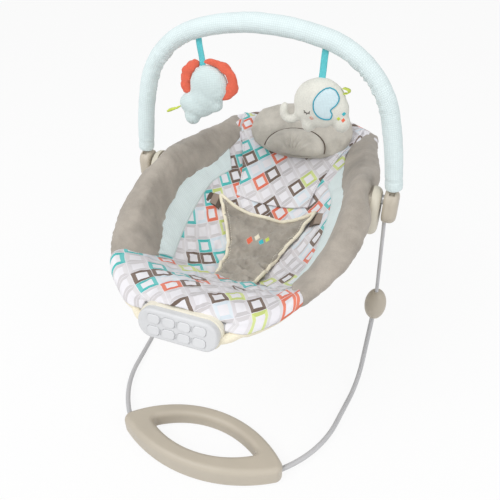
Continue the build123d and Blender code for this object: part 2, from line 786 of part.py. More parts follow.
def tapered_roll(grow):
    """Solid round roll from the hub to the nose, getting thinner on the way."""
    line = front_roll_line.line
    with BuildPart() as roll:
        with BuildSketch(Plane(origin=line @ 0, z_dir=line % 0)) as thick_end:
            Circle(roll_r + grow)
        with BuildSketch(Plane(origin=line @ 1, z_dir=line % 1)) as thin_end:
            Circle(roll_nose_r + grow)
        sweep(sections=[thick_end.sketch, thin_end.sketch], path=line, multisection=True)
    return roll.part


with BuildPart() as edge_roll_front:
    add(tapered_roll(0))
    add(ring_sweep(front_roll_line.line, tube_r + soft_gap, 0), mode=Mode.SUBTRACT)
    add(hub_room.part, mode=Mode.SUBTRACT)
write_pair(edge_roll_front.part, "edge_roll_front")

with BuildPart() as edge_roll_back:
    add(ring_sweep(back_roll_line.line, roll_r, tube_r + soft_gap))
    add(hub_room.part, mode=Mode.SUBTRACT)
write(edge_roll_back.part, "edge_roll_back")


def sling_slab(thickness, lift):
    """The sling's shape with its upper face raised by lift and a thickness below it."""
    with BuildPart() as slab:
        for behind, half, edge_z, middle_z in sling_rows:
            sag = edge_z - middle_z
            right = [(out * half, edge_z - share * sag) for out, share in sling_knees]
            left = [(-x, z) for x, z in reversed(right)]
            outline = [(half, edge_z), *right, (0, middle_z), *left, (-half, edge_z)]
            with BuildSketch(Plane(origin=(0, exit_y + behind, lift), x_dir=(1, 0, 0), z_dir=(0, -1, 0))):
                with BuildLine():
                    upper = Spline(*outline)
                    lower = Spline(*[(x, z - thickness) for x, z in outline])
                    Line(upper @ 0, lower @ 0)
                    Line(upper @ 1, lower @ 1)
                make_face()
        loft()
    return slab.part


front_roll_room = tapered_roll(soft_gap)
back_roll_room = ring_sweep(back_roll_line.line, roll_r + soft_gap, 0)
with BuildPart() as seat_sling:
    add(sling_slab(sling_thick, 0))
    add(front_roll_room, mode=Mode.SUBTRACT)
    add(mirror(front_roll_room, about=Plane.YZ), mode=Mode.SUBTRACT)
    add(back_roll_room, mode=Mode.SUBTRACT)
    add(front_tube_room, mode=Mode.SUBTRACT)
    add(unit_room.part, mode=Mode.SUBTRACT)
write(seat_sling.part, "seat_sling")
below_sling = sling_slab(3 * sling_thick, soft_gap)

tilt = radians(headrest_tilt)
head_plane = Plane(origin=(0, headrest_y, headrest_z), x_dir=(1, 0, 0), z_dir=(0, -sin(tilt), cos(tilt)))
with BuildPart() as headrest:
    with BuildSketch(head_plane):
        RectangleRounded(headrest_size[0], headrest_size[1], headrest_size[1] / headrest_round)
    extrude(amount=headrest_size[2])
    fillet(headrest.faces().sort_by(Axis.Z)[-1].edges(), headrest_edge_r)
    add(below_sling, mode=Mode.SUBTRACT)
    add(back_roll_room, mode=Mode.SUBTRACT)
write(headrest.part, "headrest")

with BuildPart() as head_pillow:
    with BuildSketch(head_plane.offset(headrest_size[2] + soft_gap)):
        with Locations((0, -pillow_drop)):
            Ellipse(pillow_length / 2, pillow_width / 2)
    extrude(amount=pillow_thick)
    fillet(head_pillow.edges().group_by(Axis.Z)[-1], pillow_edge_r)
write(head_pillow.part, "head_pillow")

pad_outline = [(half, exit_y + behind) for behind, half in pad_rows]
pad_outline += [(-x, y) for x, y in reversed(pad_outline)]


def over_sling(outline, thickness, lift):
    """Soft layer of a thickness lying on the sling inside a plan outline."""
    with BuildPart() as layer:
        with BuildSketch():
            with BuildLine():
                Polyline(*outline, close=True)
            make_face()
        extrude(amount=2 * seat_hub_z)
        add(sling_slab(thickness, thickness + lift), mode=Mode.INTERSECT)
    return layer.part


write(over_sling(pad_outline, pad_thick, soft_gap), "harness_pad")

strap_y = exit_y + pad_rows[-1][0] - strap_width / 2 - strap_from_top
strap_in_x = pad_rows[-1][1] + soft_gap
strap_outline = [(strap_in_x, strap_y - strap_width / 2), (strap_in_x + strap_reach, strap_y - strap_width / 2),
                 (strap_in_x + strap_reach, strap_y + strap_width / 2), (strap_in_x, strap_y + strap_width / 2)]
write_both(over_sling(strap_outline, strap_thick, soft_gap), "waist_straps")

buckle_in_x = strap_in_x + buckle_pad_in
buckle_outline = [(buckle_in_x, strap_y - buckle_size[1] / 2),
                  (buckle_in_x + buckle_size[0], strap_y - buckle_size[1] / 2),
                  (buckle_in_x + buckle_size[0], strap_y + buckle_size[1] / 2),
                  (buckle_in_x, strap_y + buckle_size[1] / 2)]
write_both(over_sling(buckle_outline, buckle_size[2], strap_thick + 2 * soft_gap), "waist_buckles")

# ---- control unit ---------------------------------------------------------------------
with BuildPart() as bay_room:
    with BuildSketch(unit_plane.offset(bay_back - fit_gap)):
        with Locations((0, bay_top_y + fit_gap)):
            Rectangle(bay_size[0] + 2 * fit_gap, bay_size[1] + 2 * fit_gap, align=(Align.CENTER, Align.MAX))
    extrude(amount=bay_size[2] + 2 * fit_gap)

with BuildPart() as control_face:
    with BuildSketch(unit_plane.offset(-face_depth)):
        unit_outline(0)
    extrude(amount=face_depth)
    fillet(control_face.faces().sort_by(Axis.Y)[0].edges(), face_edge_r)
    with BuildSketch(unit_plane.offset(-face_depth)):
        unit_outline(-unit_wall)
    extrude(amount=face_depth - unit_wall, mode=Mode.SUBTRACT)
    with BuildSketch(unit_plane):
        with Locations(*button_spots):
            RectangleRounded(button_size[0] + 2 * button_gap, button_size[1] + 2 * button_gap,
                             button_corner_r + button_gap)
    extrude(amount=-face_depth, mode=Mode.SUBTRACT)
    with BuildSketch(unit_plane):
        with Locations(*groove_spots):
            SlotOverall(groove_size[1], groove_size[0], rotation=90)
    extrude(amount=-groove_depth, mode=Mode.SUBTRACT)
    with BuildSketch(unit_plane.offset(board_z + fit_gap)):
        with GridLocations(2 * board_post[0], 2 * board_post[1], 2, 2):
            Circle(board_post_r)
    extrude(amount=-board_z - fit_gap - unit_wall / 2)
write(control_face.part, "control_face")

with BuildPart() as control_bezel:
    with BuildSketch(unit_plane.offset(bezel_back)):
        unit_outline(bezel_proud)
        with BuildSketch(mode=Mode.PRIVATE) as bezel_hole:
            unit_outline(-unit_wall)
        add(bezel_hole.sketch, mode=Mode.SUBTRACT)
    extrude(amount=bezel_depth - fit_gap)
    add(bay_room.part, mode=Mode.SUBTRACT)
    add(front_tube_hole, mode=Mode.SUBTRACT)
write(control_bezel.part, "control_bezel")

cell_pitch = (bay_size[2] - 2 * unit_wall) / cell_count
cell_y = bay_top_y - unit_wall - cell_r - soft_gap
cell_spots = [bay_back + unit_wall + (i + 0.5) * cell_pitch for i in range(cell_count)]
door_size = (bay_size[0] - 2 * door_border, bay_size[2] - 2 * door_border)
bay_bottom_y = bay_top_y - bay_size[1]
door_width = door_size[0] - 2 * button_gap
door_axis_z = bay_back + door_border + button_gap + door_thick / 2
door_pin_half = door_size[0] / 2 + door_pin_reach
door_pin_plane = Plane(
    origin=unit_plane.from_local_coords((0, bay_bottom_y + door_thick / 2, door_axis_z)),
    z_dir=(1, 0, 0),
)
with BuildPart() as control_back:
    with BuildSketch(unit_plane.offset(unit_back)):
        unit_outline(-back_inset)
    extrude(amount=back_depth - fit_gap)
    fillet(control_back.faces().sort_by(Axis.Y)[-1].edges(), face_edge_r)
    with BuildSketch(unit_plane.offset(unit_back + unit_wall)):
        unit_outline(-back_inset - unit_wall)
    extrude(amount=back_depth, mode=Mode.SUBTRACT)
    add(front_tube_hole, mode=Mode.SUBTRACT)
    with BuildSketch(unit_plane.offset(bay_back)):
        with Locations((0, bay_top_y)):
            Rectangle(bay_size[0], bay_size[1], align=(Align.CENTER, Align.MAX))
    extrude(amount=bay_size[2])
    with BuildSketch(unit_plane.offset(bay_back + unit_wall)):
        with Locations((0, bay_top_y - unit_wall)):
            Rectangle(bay_size[0] - 2 * unit_wall, bay_size[1] - unit_wall - door_thick - door_room,
                      align=(Align.CENTER, Align.MAX))
    extrude(amount=bay_size[2] - 2 * unit_wall, mode=Mode.SUBTRACT)
    with BuildSketch(unit_plane.offset(bay_back + door_border)):
        with Locations((0, bay_bottom_y)):
            Rectangle(door_size[0], door_thick + door_room, align=(Align.CENTER, Align.MIN))
    extrude(amount=door_size[1], mode=Mode.SUBTRACT)
    with BuildSketch(door_pin_plane.offset(-door_pin_half - fit_gap)):
        Circle(door_pin_r + run_gap)
    extrude(amount=2 * door_pin_half + 2 * fit_gap, mode=Mode.SUBTRACT)
write(control_back.part, "control_back")

with BuildPart() as batteries:
    for cell_z in cell_spots:
        with BuildSketch(Plane(origin=unit_plane.from_local_coords((-cell_length / 2, cell_y, cell_z)),
                               z_dir=(1, 0, 0))):
            Circle(cell_r)
        extrude(amount=cell_length)
write(batteries.part, "batteries")

with BuildPart() as battery_door:
    with BuildSketch(unit_plane.offset(door_axis_z)):
        with Locations((0, bay_bottom_y)):
            Rectangle(door_width, door_thick, align=(Align.CENTER, Align.MIN))
    extrude(amount=door_size[1] - 2 * button_gap - door_thick / 2)
    with BuildSketch(door_pin_plane.offset(-door_width / 2)):
        Circle(door_thick / 2)
    extrude(amount=door_width)
    with BuildSketch(door_pin_plane.offset(-door_pin_half)):
        Circle(door_pin_r)
    extrude(amount=2 * door_pin_half)
write(battery_door.part, "battery_door")

with BuildPart() as circuit_board:
    with BuildSketch(unit_plane.offset(board_z - board_size[2])):
        Rectangle(board_size[0], board_size[1])
    extrude(amount=board_size[2])
write(circuit_board.part, "circuit_board")

for number, spot in enumerate(button_spots, 1):
    with BuildPart() as button:
        with BuildSketch(unit_plane.offset(-unit_wall - button_travel)):
            with Locations(spot):
                RectangleRounded(*button_size, button_corner_r)
        extrude(amount=unit_wall + button_travel + button_proud)
        fillet(button.faces().sort_by(Axis.Y)[0].edges(), button_edge_r)
        with BuildSketch(unit_plane.offset(-unit_wall - fit_gap)):
            with Locations(spot):
                RectangleRounded(button_size[0] + 2 * flange_width, button_size[1] + 2 * flange_width,
                                 button_corner_r + flange_width)
        extrude(amount=-flange_thick)
        with BuildSketch(unit_plane.offset(-unit_wall)):
            with Locations(spot):
                Circle(stem_r)
        extrude(amount=board_z + button_travel + fit_gap + unit_wall)
    write(button.part, f"button_{number}")

motor_plane = Plane(origin=unit_plane.from_local_coords((*motor_at, unit_back + unit_wall + motor_r + fit_gap)),
                    z_dir=(1, 0, 0))
with BuildPart() as vibration_motor:
    with BuildSketch(motor_plane.offset(-motor_length / 2)):
        Circle(motor_r)
    extrude(amount=motor_length)
    with BuildSketch(motor_plane.offset(motor_length / 2 - weight_thick)):
        Circle(shaft_r + run_gap)
    extrude(amount=weight_thick, mode=Mode.SUBTRACT)
write(vibration_motor.part, "vibration_motor")

with BuildPart() as motor_weight:
    with BuildSketch(motor_plane.offset(motor_length / 2 - weight_thick + run_gap)):
        Circle(shaft_r)
    extrude(amount=2 * weight_thick)
    with BuildSketch(motor_plane.offset(motor_length / 2 + weight_gap)):
        Circle(weight_r)
        with Locations((0, weight_r / 2 + shaft_r)):
            Rectangle(3 * weight_r, weight_r, mode=Mode.SUBTRACT)
        Circle(2 * shaft_r)
    extrude(amount=weight_thick)
write(motor_weight.part, "motor_weight")

with BuildPart() as speaker:
    with BuildSketch(unit_plane.offset(board_z - board_size[2] - fit_gap)):
        with Locations((-board_size[0] / 2 + speaker_r, 0)):
            Circle(speaker_r)
    extrude(amount=-speaker_thick)
write(speaker.part, "speaker")
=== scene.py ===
import json
from math import cos, pi, radians, sin

import bmesh
import bpy
import numpy as np
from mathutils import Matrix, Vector, noise
from mathutils.bvhtree import BVHTree


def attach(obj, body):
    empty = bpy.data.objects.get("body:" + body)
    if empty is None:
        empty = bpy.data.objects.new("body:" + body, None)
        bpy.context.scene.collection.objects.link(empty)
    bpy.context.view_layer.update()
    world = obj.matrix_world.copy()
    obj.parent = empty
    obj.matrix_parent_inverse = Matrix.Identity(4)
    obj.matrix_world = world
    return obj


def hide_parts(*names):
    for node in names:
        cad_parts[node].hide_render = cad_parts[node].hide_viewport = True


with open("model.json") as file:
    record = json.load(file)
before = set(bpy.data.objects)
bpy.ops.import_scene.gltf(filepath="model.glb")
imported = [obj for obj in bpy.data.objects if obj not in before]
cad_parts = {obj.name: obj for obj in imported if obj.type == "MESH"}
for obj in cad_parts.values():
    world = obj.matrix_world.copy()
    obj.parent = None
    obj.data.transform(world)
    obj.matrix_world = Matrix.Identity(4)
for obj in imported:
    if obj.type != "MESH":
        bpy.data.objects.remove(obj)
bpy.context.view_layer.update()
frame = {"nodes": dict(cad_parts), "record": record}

# ---- sizes shared with the frame, in metres ----

MM = 0.001
SEAT = "seat_and_frame"
SIDES = (("left", -1), ("right", 1))
ACROSS, UP = np.array((1.0, 0.0, 0.0)), np.array((0.0, 0.0, 1.0))
HUB_Y, PIVOT_Z = 0.026, 0.389  # the toy bar's hubs: front to back, and height
EXIT_Y = -0.259               # leg exits; stations of the seat are counted back from here

# toy bar: height of its apex over the pivot, lean, and the arcs of one side with their sweeps
BAR_HEIGHT, BAR_LEAN = 0.256, radians(2.6)
BAR_ARCS = ((0.3657, radians(16.3)), (0.147, radians(57.7)), (0.590, radians(8)))
BAR_LEG = 0.0366
SLEEVE_R = 0.0145
RIBBON_TURN = radians(15.4)
RIBBON_DROP = 0.038

# seat sling: distance behind the leg exits, half width, edge height, middle height (mm)
SLING = np.array([
    (-20, 76, 335, 342), (10, 108, 337, 334), (45, 130, 338, 312), (100, 146, 342, 275),
    (163, 155, 346, 249), (230, 159, 366, 243), (300, 156, 381, 267), (370, 152, 384, 312),
    (440, 140, 387, 352), (500, 116, 391, 380), (534, 84, 396, 393),
]) * MM

# ---- lines and grids ----


def unit(vectors):
    """Vectors scaled to length one."""
    return vectors / np.maximum(np.linalg.norm(vectors, axis=-1, keepdims=True), 1e-12)


def tangents(path):
    return unit(np.gradient(path, axis=0))


def smooth_line(points, count):
    """Evenly spaced points of a Catmull-Rom curve through a few given ones."""
    p = np.array(points, float)
    p = np.vstack([2 * p[0] - p[1], p, 2 * p[-1] - p[-2]])
    out = []
    for i in range(1, len(p) - 2):
        for t in np.linspace(0, 1, 24, endpoint=False):
            a, b, c, d = p[i - 1:i + 3]
            out.append(0.5 * (2 * b + (c - a) * t + (2 * a - 5 * b + 4 * c - d) * t * t
                              + (3 * b - a - 3 * c + d) * t ** 3))
    out = np.array(out + [p[-2]])
    run = np.concatenate([[0], np.cumsum(np.linalg.norm(np.diff(out, axis=0), axis=1))])
    at = np.linspace(0, run[-1], count)
    return np.stack([np.interp(at, run, out[:, k]) for k in range(out.shape[1])], 1)


def lined_up(fine, fraction):
    """Points of a fine line at fractions of its length."""
    at = fraction * (len(fine) - 1)
    return np.stack([np.interp(at, np.arange(len(fine)), column) for column in fine.T], 1)


SLING_FINE = smooth_line(SLING, 200)


def station(y):
    """Half width, edge height and middle height of the sling at a place behind the exits."""
    return [np.interp(y - EXIT_Y, SLING_FINE[:, 0], SLING_FINE[:, k]) for k in (1, 2, 3)]


def bowl(x, y):
    """Height of the sling's upper face."""
    half, edge, middle = station(y)
    t = np.abs(x) / half
    sag = np.where(t < 1, 1 - np.minimum(t, 1) ** 2.4, 2.4 * (1 - t))
    return edge - (edge - middle) * sag


def on_bowl(x, y, lift=0.0):
    """Places on the sling's upper face, raised by a lift."""
    x, y = np.broadcast_arrays(x, y)
    return np.stack([x, y, bowl(x, y) + lift], -1)


def half_at(rows, behind):
    """Half widths of an outline of (half, behind) rows at stations, in from millimetres."""
    line = smooth_line([(b, x) for x, b in rows], 300)
    return np.interp(behind, line[:, 0], line[:, 1])[:, None] * MM


def seam_line(points, count, lift=0.0):
    """Line on the sling through (half width, behind) points in millimetres."""
    x, behind = smooth_line(np.array(points) * MM, count).T
    return on_bowl(x, EXIT_Y + behind, lift)


def rumple(points, normals, size, stretch, depth, seed):
    """Move points along their normals by soft folds; stretch scales the folds along each axis."""
    moved = points.copy()
    flat, normal = moved.reshape(-1, 3), normals.reshape(-1, 3)
    away = np.broadcast_to(np.asarray(depth, float), points.shape[:-1]).reshape(-1)
    for i, (p, n) in enumerate(zip(flat, normal)):
        q = Vector((p[0] / stretch[0], p[1] / stretch[1], p[2] / stretch[2])) / size
        q += Vector((seed * 7.3, seed * 3.1, seed * 5.7))
        wave = 1 - 2 * abs(noise.noise(q)) + 0.5 * noise.noise(q * 2.3)
        flat[i] = p + n * (wave - 0.6) * away[i]
    return moved


def grid_normals(grid):
    return unit(np.cross(np.gradient(grid, axis=0), np.gradient(grid, axis=1)))


def upward(grid):
    """Normals of a grid, each on its upper side."""
    normals = grid_normals(grid)
    return normals * np.sign(normals[..., 2:3])


# ---- meshes ----


def paint(obj, material):
    """Give a piece one material."""
    obj.data.materials.clear()
    obj.data.materials.append(material)
    return obj


def coat(obj, material):
    """Give a piece one material and smooth shading."""
    obj.data.polygons.foreach_set("use_smooth", [True] * len(obj.data.polygons))
    return paint(obj, material)


def add_object(name, data):
    obj = bpy.data.objects.new(name, data)
    bpy.context.scene.collection.objects.link(obj)
    return obj


def skin(name, grid, material, wrap=False, caps=False):
    """Mesh over a grid of points, with its own cloth coordinates in metres."""
    rows, cols = grid.shape[:2]
    wide = np.concatenate([grid, grid[:, :1]], 1) if wrap else grid
    u, v = np.zeros(wide.shape[:2]), np.zeros(rows)
    u[:, 1:] = np.cumsum(np.linalg.norm(np.diff(wide, axis=1), axis=2), axis=1)
    u -= u[:, wide.shape[1] // 2][:, None]
    v[1:] = np.cumsum(np.linalg.norm(np.diff(grid[:, cols // 2], axis=0), axis=1))
    faces, corners = [], []
    for i in range(rows - 1):
        for j in range(wide.shape[1] - 1):
            cell = ((i, j), (i, j + 1), (i + 1, j + 1), (i + 1, j))
            faces.append([a * cols + b % cols for a, b in cell])
            corners += [(u[a, b], v[a]) for a, b in cell]
    if caps:
        faces += [list(range(cols))[::-1], list(range((rows - 1) * cols, rows * cols))]
        corners += [(0.0, 0.0)] * (2 * cols)
    mesh = bpy.data.meshes.new(name)
    mesh.from_pydata(grid.reshape(-1, 3).tolist(), [], faces)
    mesh.uv_layers.new(name="cloth").data.foreach_set("uv", np.array(corners, np.float32).ravel())
    mesh.validate()
    return coat(add_object(name, mesh), material)


def closed_skin(name, rings, material):
    """Mesh through closed rings of points, capped at both ends, with its normals outward."""
    obj = skin(name, np.asarray(rings), material, wrap=True, caps=True)
    bm = bmesh.new()
    bm.from_mesh(obj.data)
    bmesh.ops.remove_doubles(bm, verts=bm.verts, dist=1e-6)
    bmesh.ops.recalc_face_normals(bm, faces=bm.faces)
    bm.to_mesh(obj.data)
    bm.free()
    return obj


def keep_shape(obj):
    """Bake the modifiers into the mesh."""
    deps = bpy.context.evaluated_depsgraph_get()
    mesh = bpy.data.meshes.new_from_object(obj.evaluated_get(deps))
    obj.modifiers.clear()
    old, obj.data = obj.data, mesh
    bpy.data.meshes.remove(old)
    return obj


def thicken(obj, thickness):
    wall = obj.modifiers.new("cloth_thickness", "SOLIDIFY")
    wall.thickness, wall.offset = thickness, -1
    return keep_shape(obj)


def one_skin(obj, voxel):
    """Rebuild a closed mesh with an even net of faces."""
    remesh = obj.modifiers.new("one_skin", "REMESH")
    remesh.mode, remesh.voxel_size, remesh.use_smooth_shade = "VOXEL", voxel, True


def soften(obj, times):
    soft = obj.modifiers.new("soften", "SMOOTH")
    soft.factor, soft.iterations = 0.5, times


def tube(name, path, radius, material, around=12, flat=1.0):
    """Round or flattened tube along a path, closed at both ends."""
    path = np.asarray(path, float)
    along = tangents(path)
    side = np.cross(along[0], UP)
    if np.linalg.norm(side) < 0.1:
        side = np.cross(along[0], (0.0, 1.0, 0.0))
    rings = []
    for p, t, r in zip(path, along, np.broadcast_to(radius, len(path))):
        side = unit(side - t * np.dot(side, t))
        other = np.cross(t, side)
        rings.append([p + r * (cos(a) * side + flat * sin(a) * other)
                      for a in np.linspace(0, 2 * pi, around, endpoint=False)])
    return closed_skin(name, rings, material)


def lumps(name, balls, material, soft_times, voxel=0.0022):
    """Stuffed body made of overlapping ellipsoids: centre and radii of each."""
    bm = bmesh.new()
    for centre, radii in balls:
        for vert in bmesh.ops.create_icosphere(bm, subdivisions=4, radius=1)["verts"]:
            vert.co = Vector(centre) + Vector([c * r for c, r in zip(vert.co, radii)])
    mesh = bpy.data.meshes.new(name)
    bm.to_mesh(mesh)
    bm.free()
    obj = add_object(name, mesh)
    one_skin(obj, voxel)
    soften(obj, soft_times)
    return coat(keep_shape(obj), material)


def get_points(obj, kind="co"):
    """Places or normals of a mesh's points."""
    values = np.empty(len(obj.data.vertices) * 3)
    obj.data.vertices.foreach_get(kind, values)
    return values.reshape(-1, 3)


def set_points(obj, points):
    obj.data.vertices.foreach_set("co", np.ravel(points))
    obj.data.update()


def puff(obj, pressure, limit, voxel, frames=20):
    """Let a closed pad swell like stuffed cloth, no point moving further than the limit."""
    material = obj.data.materials[0]
    one_skin(obj, voxel)
    start = get_points(keep_shape(obj))
    cloth = obj.modifiers.new("stuffing", "CLOTH")
    cloth.settings.use_pressure = True
    cloth.settings.uniform_pressure_force = pressure
    cloth.settings.effector_weights.gravity = 0
    cloth.settings.quality = 5
    cloth.point_cache.frame_start, cloth.point_cache.frame_end = 1, frames
    for number in range(1, frames + 1):
        bpy.context.scene.frame_set(number)
    keep_shape(obj)
    bpy.context.scene.frame_set(1)
    step = get_points(obj) - start
    size = np.linalg.norm(step, axis=1, keepdims=True)
    set_points(obj, start + step * np.minimum(1, limit / np.maximum(size, 1e-9)))
    soften(obj, 3)
    finer = obj.modifiers.new("finer", "SUBSURF")
    finer.levels = finer.render_levels = 1
    return coat(keep_shape(obj), material)


def ripple(obj, depth, size, seed, stretch=(1, 1, 1)):
    """Soft folds over a finished piece."""
    points, normals = get_points(obj)[None], get_points(obj, "normal")[None]
    set_points(obj, rumple(points, normals, size, stretch, depth, seed))


def front_of(obj, towards):
    """Finder of surface points of a piece, looking down or back at it from outside."""
    mesh = obj.data
    tree = BVHTree.FromPolygons([v.co for v in mesh.vertices], [tuple(p.vertices) for p in mesh.polygons])
    look = Vector(towards)

    def find(first, second):
        start, near = [Vector((first, second, high) if look.z else (first, back, second))
                       for high, back in ((2.0, -2.0), (0.3, 0.0))]
        hit = tree.ray_cast(start, look)[0]
        return np.array(tree.find_nearest(near)[0] if hit is None else hit)

    return find


def stitch_tree():
    """Geometry nodes: a row of short rounded stitches along a line."""
    tree = bpy.data.node_groups.new("stitch_row", "GeometryNodeTree")
    face, sockets = tree.interface, {}
    for name, kind in (("Line", "Geometry"), ("Pitch", "Float"), ("Length", "Float"),
                       ("Thickness", "Float"), ("Thread", "Material")):
        sockets[name] = face.new_socket(name=name, in_out="INPUT", socket_type="NodeSocket" + kind).identifier
    face.new_socket(name="Stitches", in_out="OUTPUT", socket_type="NodeSocketGeometry")
    node = {name: tree.nodes.new(kind) for name, kind in {
        "given": "NodeGroupInput", "result": "NodeGroupOutput", "curve": "GeometryNodeMeshToCurve",
        "points": "GeometryNodeCurveToPoints", "ball": "GeometryNodeMeshUVSphere",
        "size": "ShaderNodeCombineXYZ", "scale": "GeometryNodeTransform",
        "place": "GeometryNodeInstanceOnPoints", "real": "GeometryNodeRealizeInstances",
        "cloth": "GeometryNodeSetMaterial"}.items()}
    node["points"].mode = "LENGTH"
    for socket, value in (("Segments", 6), ("Rings", 4), ("Radius", 0.5)):
        node["ball"].inputs[socket].default_value = value
    for source, output, target, socket in (
            ("given", "Line", "curve", "Mesh"), ("curve", "Curve", "points", "Curve"),
            ("given", "Pitch", "points", "Length"), ("given", "Thickness", "size", "X"),
            ("given", "Thickness", "size", "Y"), ("given", "Length", "size", "Z"),
            ("ball", "Mesh", "scale", "Geometry"), ("size", 0, "scale", "Scale"),
            ("points", "Points", "place", "Points"), ("points", "Rotation", "place", "Rotation"),
            ("scale", "Geometry", "place", "Instance"), ("place", "Instances", "real", "Geometry"),
            ("real", "Geometry", "cloth", "Geometry"), ("given", "Thread", "cloth", "Material"),
            ("cloth", "Geometry", "result", 0)):
        tree.links.new(node[source].outputs[output], node[target].inputs[socket])
    return tree, sockets


STITCH_TREE, STITCH_SOCKETS = stitch_tree()


def stitch_row(name, line, thread, pitch, length, thickness, body=SEAT):
    """Real stitches along a line of points; the thickness is a thread's radius."""
    mesh = bpy.data.meshes.new(name)
    mesh.from_pydata([tuple(p) for p in line], [(i, i + 1) for i in range(len(line) - 1)], [])
    row = add_object(name, mesh)
    sewn = row.modifiers.new("stitches", "NODES")
    sewn.node_group = STITCH_TREE
    for socket, value in (("Pitch", pitch), ("Length", length), ("Thickness", 2 * thickness),
                          ("Thread", thread)):
        sewn[STITCH_SOCKETS[socket]] = value
    dress(paint(keep_shape(row), thread), body, "seat_print")


def dress(obj, body, slot, *nodes, fill=None):
    """Ride a finished piece on its body, and hide the CAD nodes it stands for."""
    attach(obj, body)
    if nodes:
        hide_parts(*nodes)


# ---- finishes ----


def tint(red, green, blue):
    """Screen colour from 0 to 255 as the shader's linear colour."""
    return tuple((c / 255) ** 2.2 for c in (red, green, blue)) + (1.0,)


def grade(colour, gain):
    return tuple(min(1, c * gain) for c in colour[:3]) + (1.0,)


def operator(operation, reflected=False):
    """A Math node as a method of Value."""

    def work(value, *others):
        values = (*others, value) if reflected else (value, *others)
        return value.finish.node("Math", {"operation": operation}, dict(enumerate(values)))

    return work


class Value:
    """A shader socket that Python expressions can work on."""

    def __init__(self, finish, socket):
        self.finish, self.socket = finish, socket

    __add__ = __radd__ = operator("ADD")
    __sub__, __rsub__ = operator("SUBTRACT"), operator("SUBTRACT", reflected=True)
    __mul__ = __rmul__ = operator("MULTIPLY")
    __truediv__ = operator("DIVIDE")
    __lt__, __gt__ = operator("LESS_THAN"), operator("GREATER_THAN")
    __abs__, floor, sine = operator("ABSOLUTE"), operator("FLOOR"), operator("SINE")
    larger = operator("MAXIMUM")


class Finish:
    """A procedural material round one Principled shader."""

    def __init__(self, name, **sockets):
        self.material = bpy.data.materials.new(name)
        self.material.use_nodes = True
        self.nodes, self.link = self.material.node_tree.nodes, self.material.node_tree.links.new
        self.nodes.clear()
        self.shader = self.nodes.new("ShaderNodeBsdfPrincipled")
        self.output = self.nodes.new("ShaderNodeOutputMaterial")
        self.link(self.shader.outputs["BSDF"], self.output.inputs["Surface"])
        for socket, value in sockets.items():
            self.shader.inputs[socket.replace("_", " ")].default_value = value

    def fill(self, socket, value):
        if isinstance(value, Value):
            self.link(value.socket, socket)
        else:
            socket.default_value = value

    def node(self, kind, settings=None, values=None, output=0):
        """A node of a kind: its settings first, then the values or links of its sockets."""
        made = self.nodes.new("ShaderNode" + kind)
        for key, value in (settings or {}).items():
            if key == "stops":
                elements = made.color_ramp.elements
                while len(elements) < len(value):
                    elements.new(1)
                for element, (place, colour) in zip(elements, value):
                    element.position, element.color = place, colour
            elif key == "ramp_interpolation":
                made.color_ramp.interpolation = value
            else:
                setattr(made, key, value)
        for key, value in (values or {}).items():
            self.fill(made.inputs[key], value)
        return Value(self, made.outputs[output])

    def noise(self, scale, detail=3.0, roughness=0.55):
        return self.node("TexNoise", None, {"Vector": self.node("TexCoord", output="Object"), "Scale": scale,
                                            "Detail": detail, "Roughness": roughness})

    def mix(self, amount, first, second, way="MIX"):
        return self.node("Mix", {"data_type": "RGBA", "blend_type": way}, {0: amount, 6: first, 7: second}, 2)

    def ramp(self, amount, stops, interpolation="LINEAR"):
        return self.node("ValToRGB", {"stops": stops, "ramp_interpolation": interpolation}, {0: amount})

    def shades(self, amount, colour, *stops):
        """Ramp of one colour: places along it, and how bright the colour is there."""
        return self.ramp(amount, [(place, grade(colour, gain)) for place, gain in stops])

    def cover(self, colour, rough, height, depth):
        """Set colour, roughness and relief, and give the material."""
        relief = self.node("Bump", None, {"Height": height, "Distance": depth})
        for socket, value in (("Base Color", colour), ("Roughness", rough), ("Normal", relief)):
            self.fill(self.shader.inputs[socket], value)
        return self.material

    def cloth_axes(self):
        """The cloth coordinates of a piece, in metres."""
        vector = self.node("UVMap", {"uv_map": "cloth"})
        return [self.node("SeparateXYZ", None, {0: vector}, k) for k in (0, 1)]

    def front_axes(self):
        """Sideways and height, for a piece that is seen from the front."""
        place = self.node("TexCoord", output="Object")
        return [self.node("SeparateXYZ", None, {0: place}, k) for k in (0, 2)]


def plush(name, colour, depth=0.0009):
    """Short brushed pile: broad light and dark strokes over fine grain."""
    made = Finish(name, Sheen_Weight=0.25, Sheen_Roughness=0.5, Specular_IOR_Level=0.15)
    stroke, grain = made.noise(26, 4, 0.6), made.noise(900, 2)
    tone = made.shades(stroke * 0.75 + grain * 0.35, colour, (0.36, 0.78), (0.56, 1), (0.74, 1.2))
    return made.cover(tone, 0.86 + grain * 0.12, stroke * 0.6 + grain * 0.5, depth)


def grid_cloth(name, colour, pitch, toy=False):
    """Pale cotton with a fine woven check; on a toy it runs straight over the front."""
    made = Finish(name, Sheen_Weight=0.15, Specular_IOR_Level=0.2)
    across, along = [(axis * (2 * pi / pitch)).sine() * 0.5 + 0.5
                     for axis in (made.front_axes() if toy else made.cloth_axes())]
    check, soft = across * along, made.noise(30, 3)
    tone = made.shades(check * 0.55 + soft * 0.45, colour, (0.1, 0.88), (0.45, 1), (0.85, 1.1))
    return made.cover(tone, 0.8 + soft * 0.15, check * 0.7 + made.noise(700, 2) * 0.3, 0.0005)


PRINT_WHITE = tint(240, 238, 242)
PRINT_INKS = [tint(*c) for c in (
    (212, 208, 210), (232, 122, 98), (204, 200, 202), (206, 220, 132), (216, 212, 214), (86, 192, 190),
    (208, 204, 206), (118, 102, 92), (214, 210, 212), (220, 230, 238))]
PRINT_LIGHTS = [tint(*c) for c in (
    (226, 223, 225), (238, 138, 114), (222, 218, 220), (220, 231, 158), (229, 226, 228), (116, 206, 204),
    (224, 220, 223), (134, 118, 108), (228, 225, 228), (230, 238, 244))]


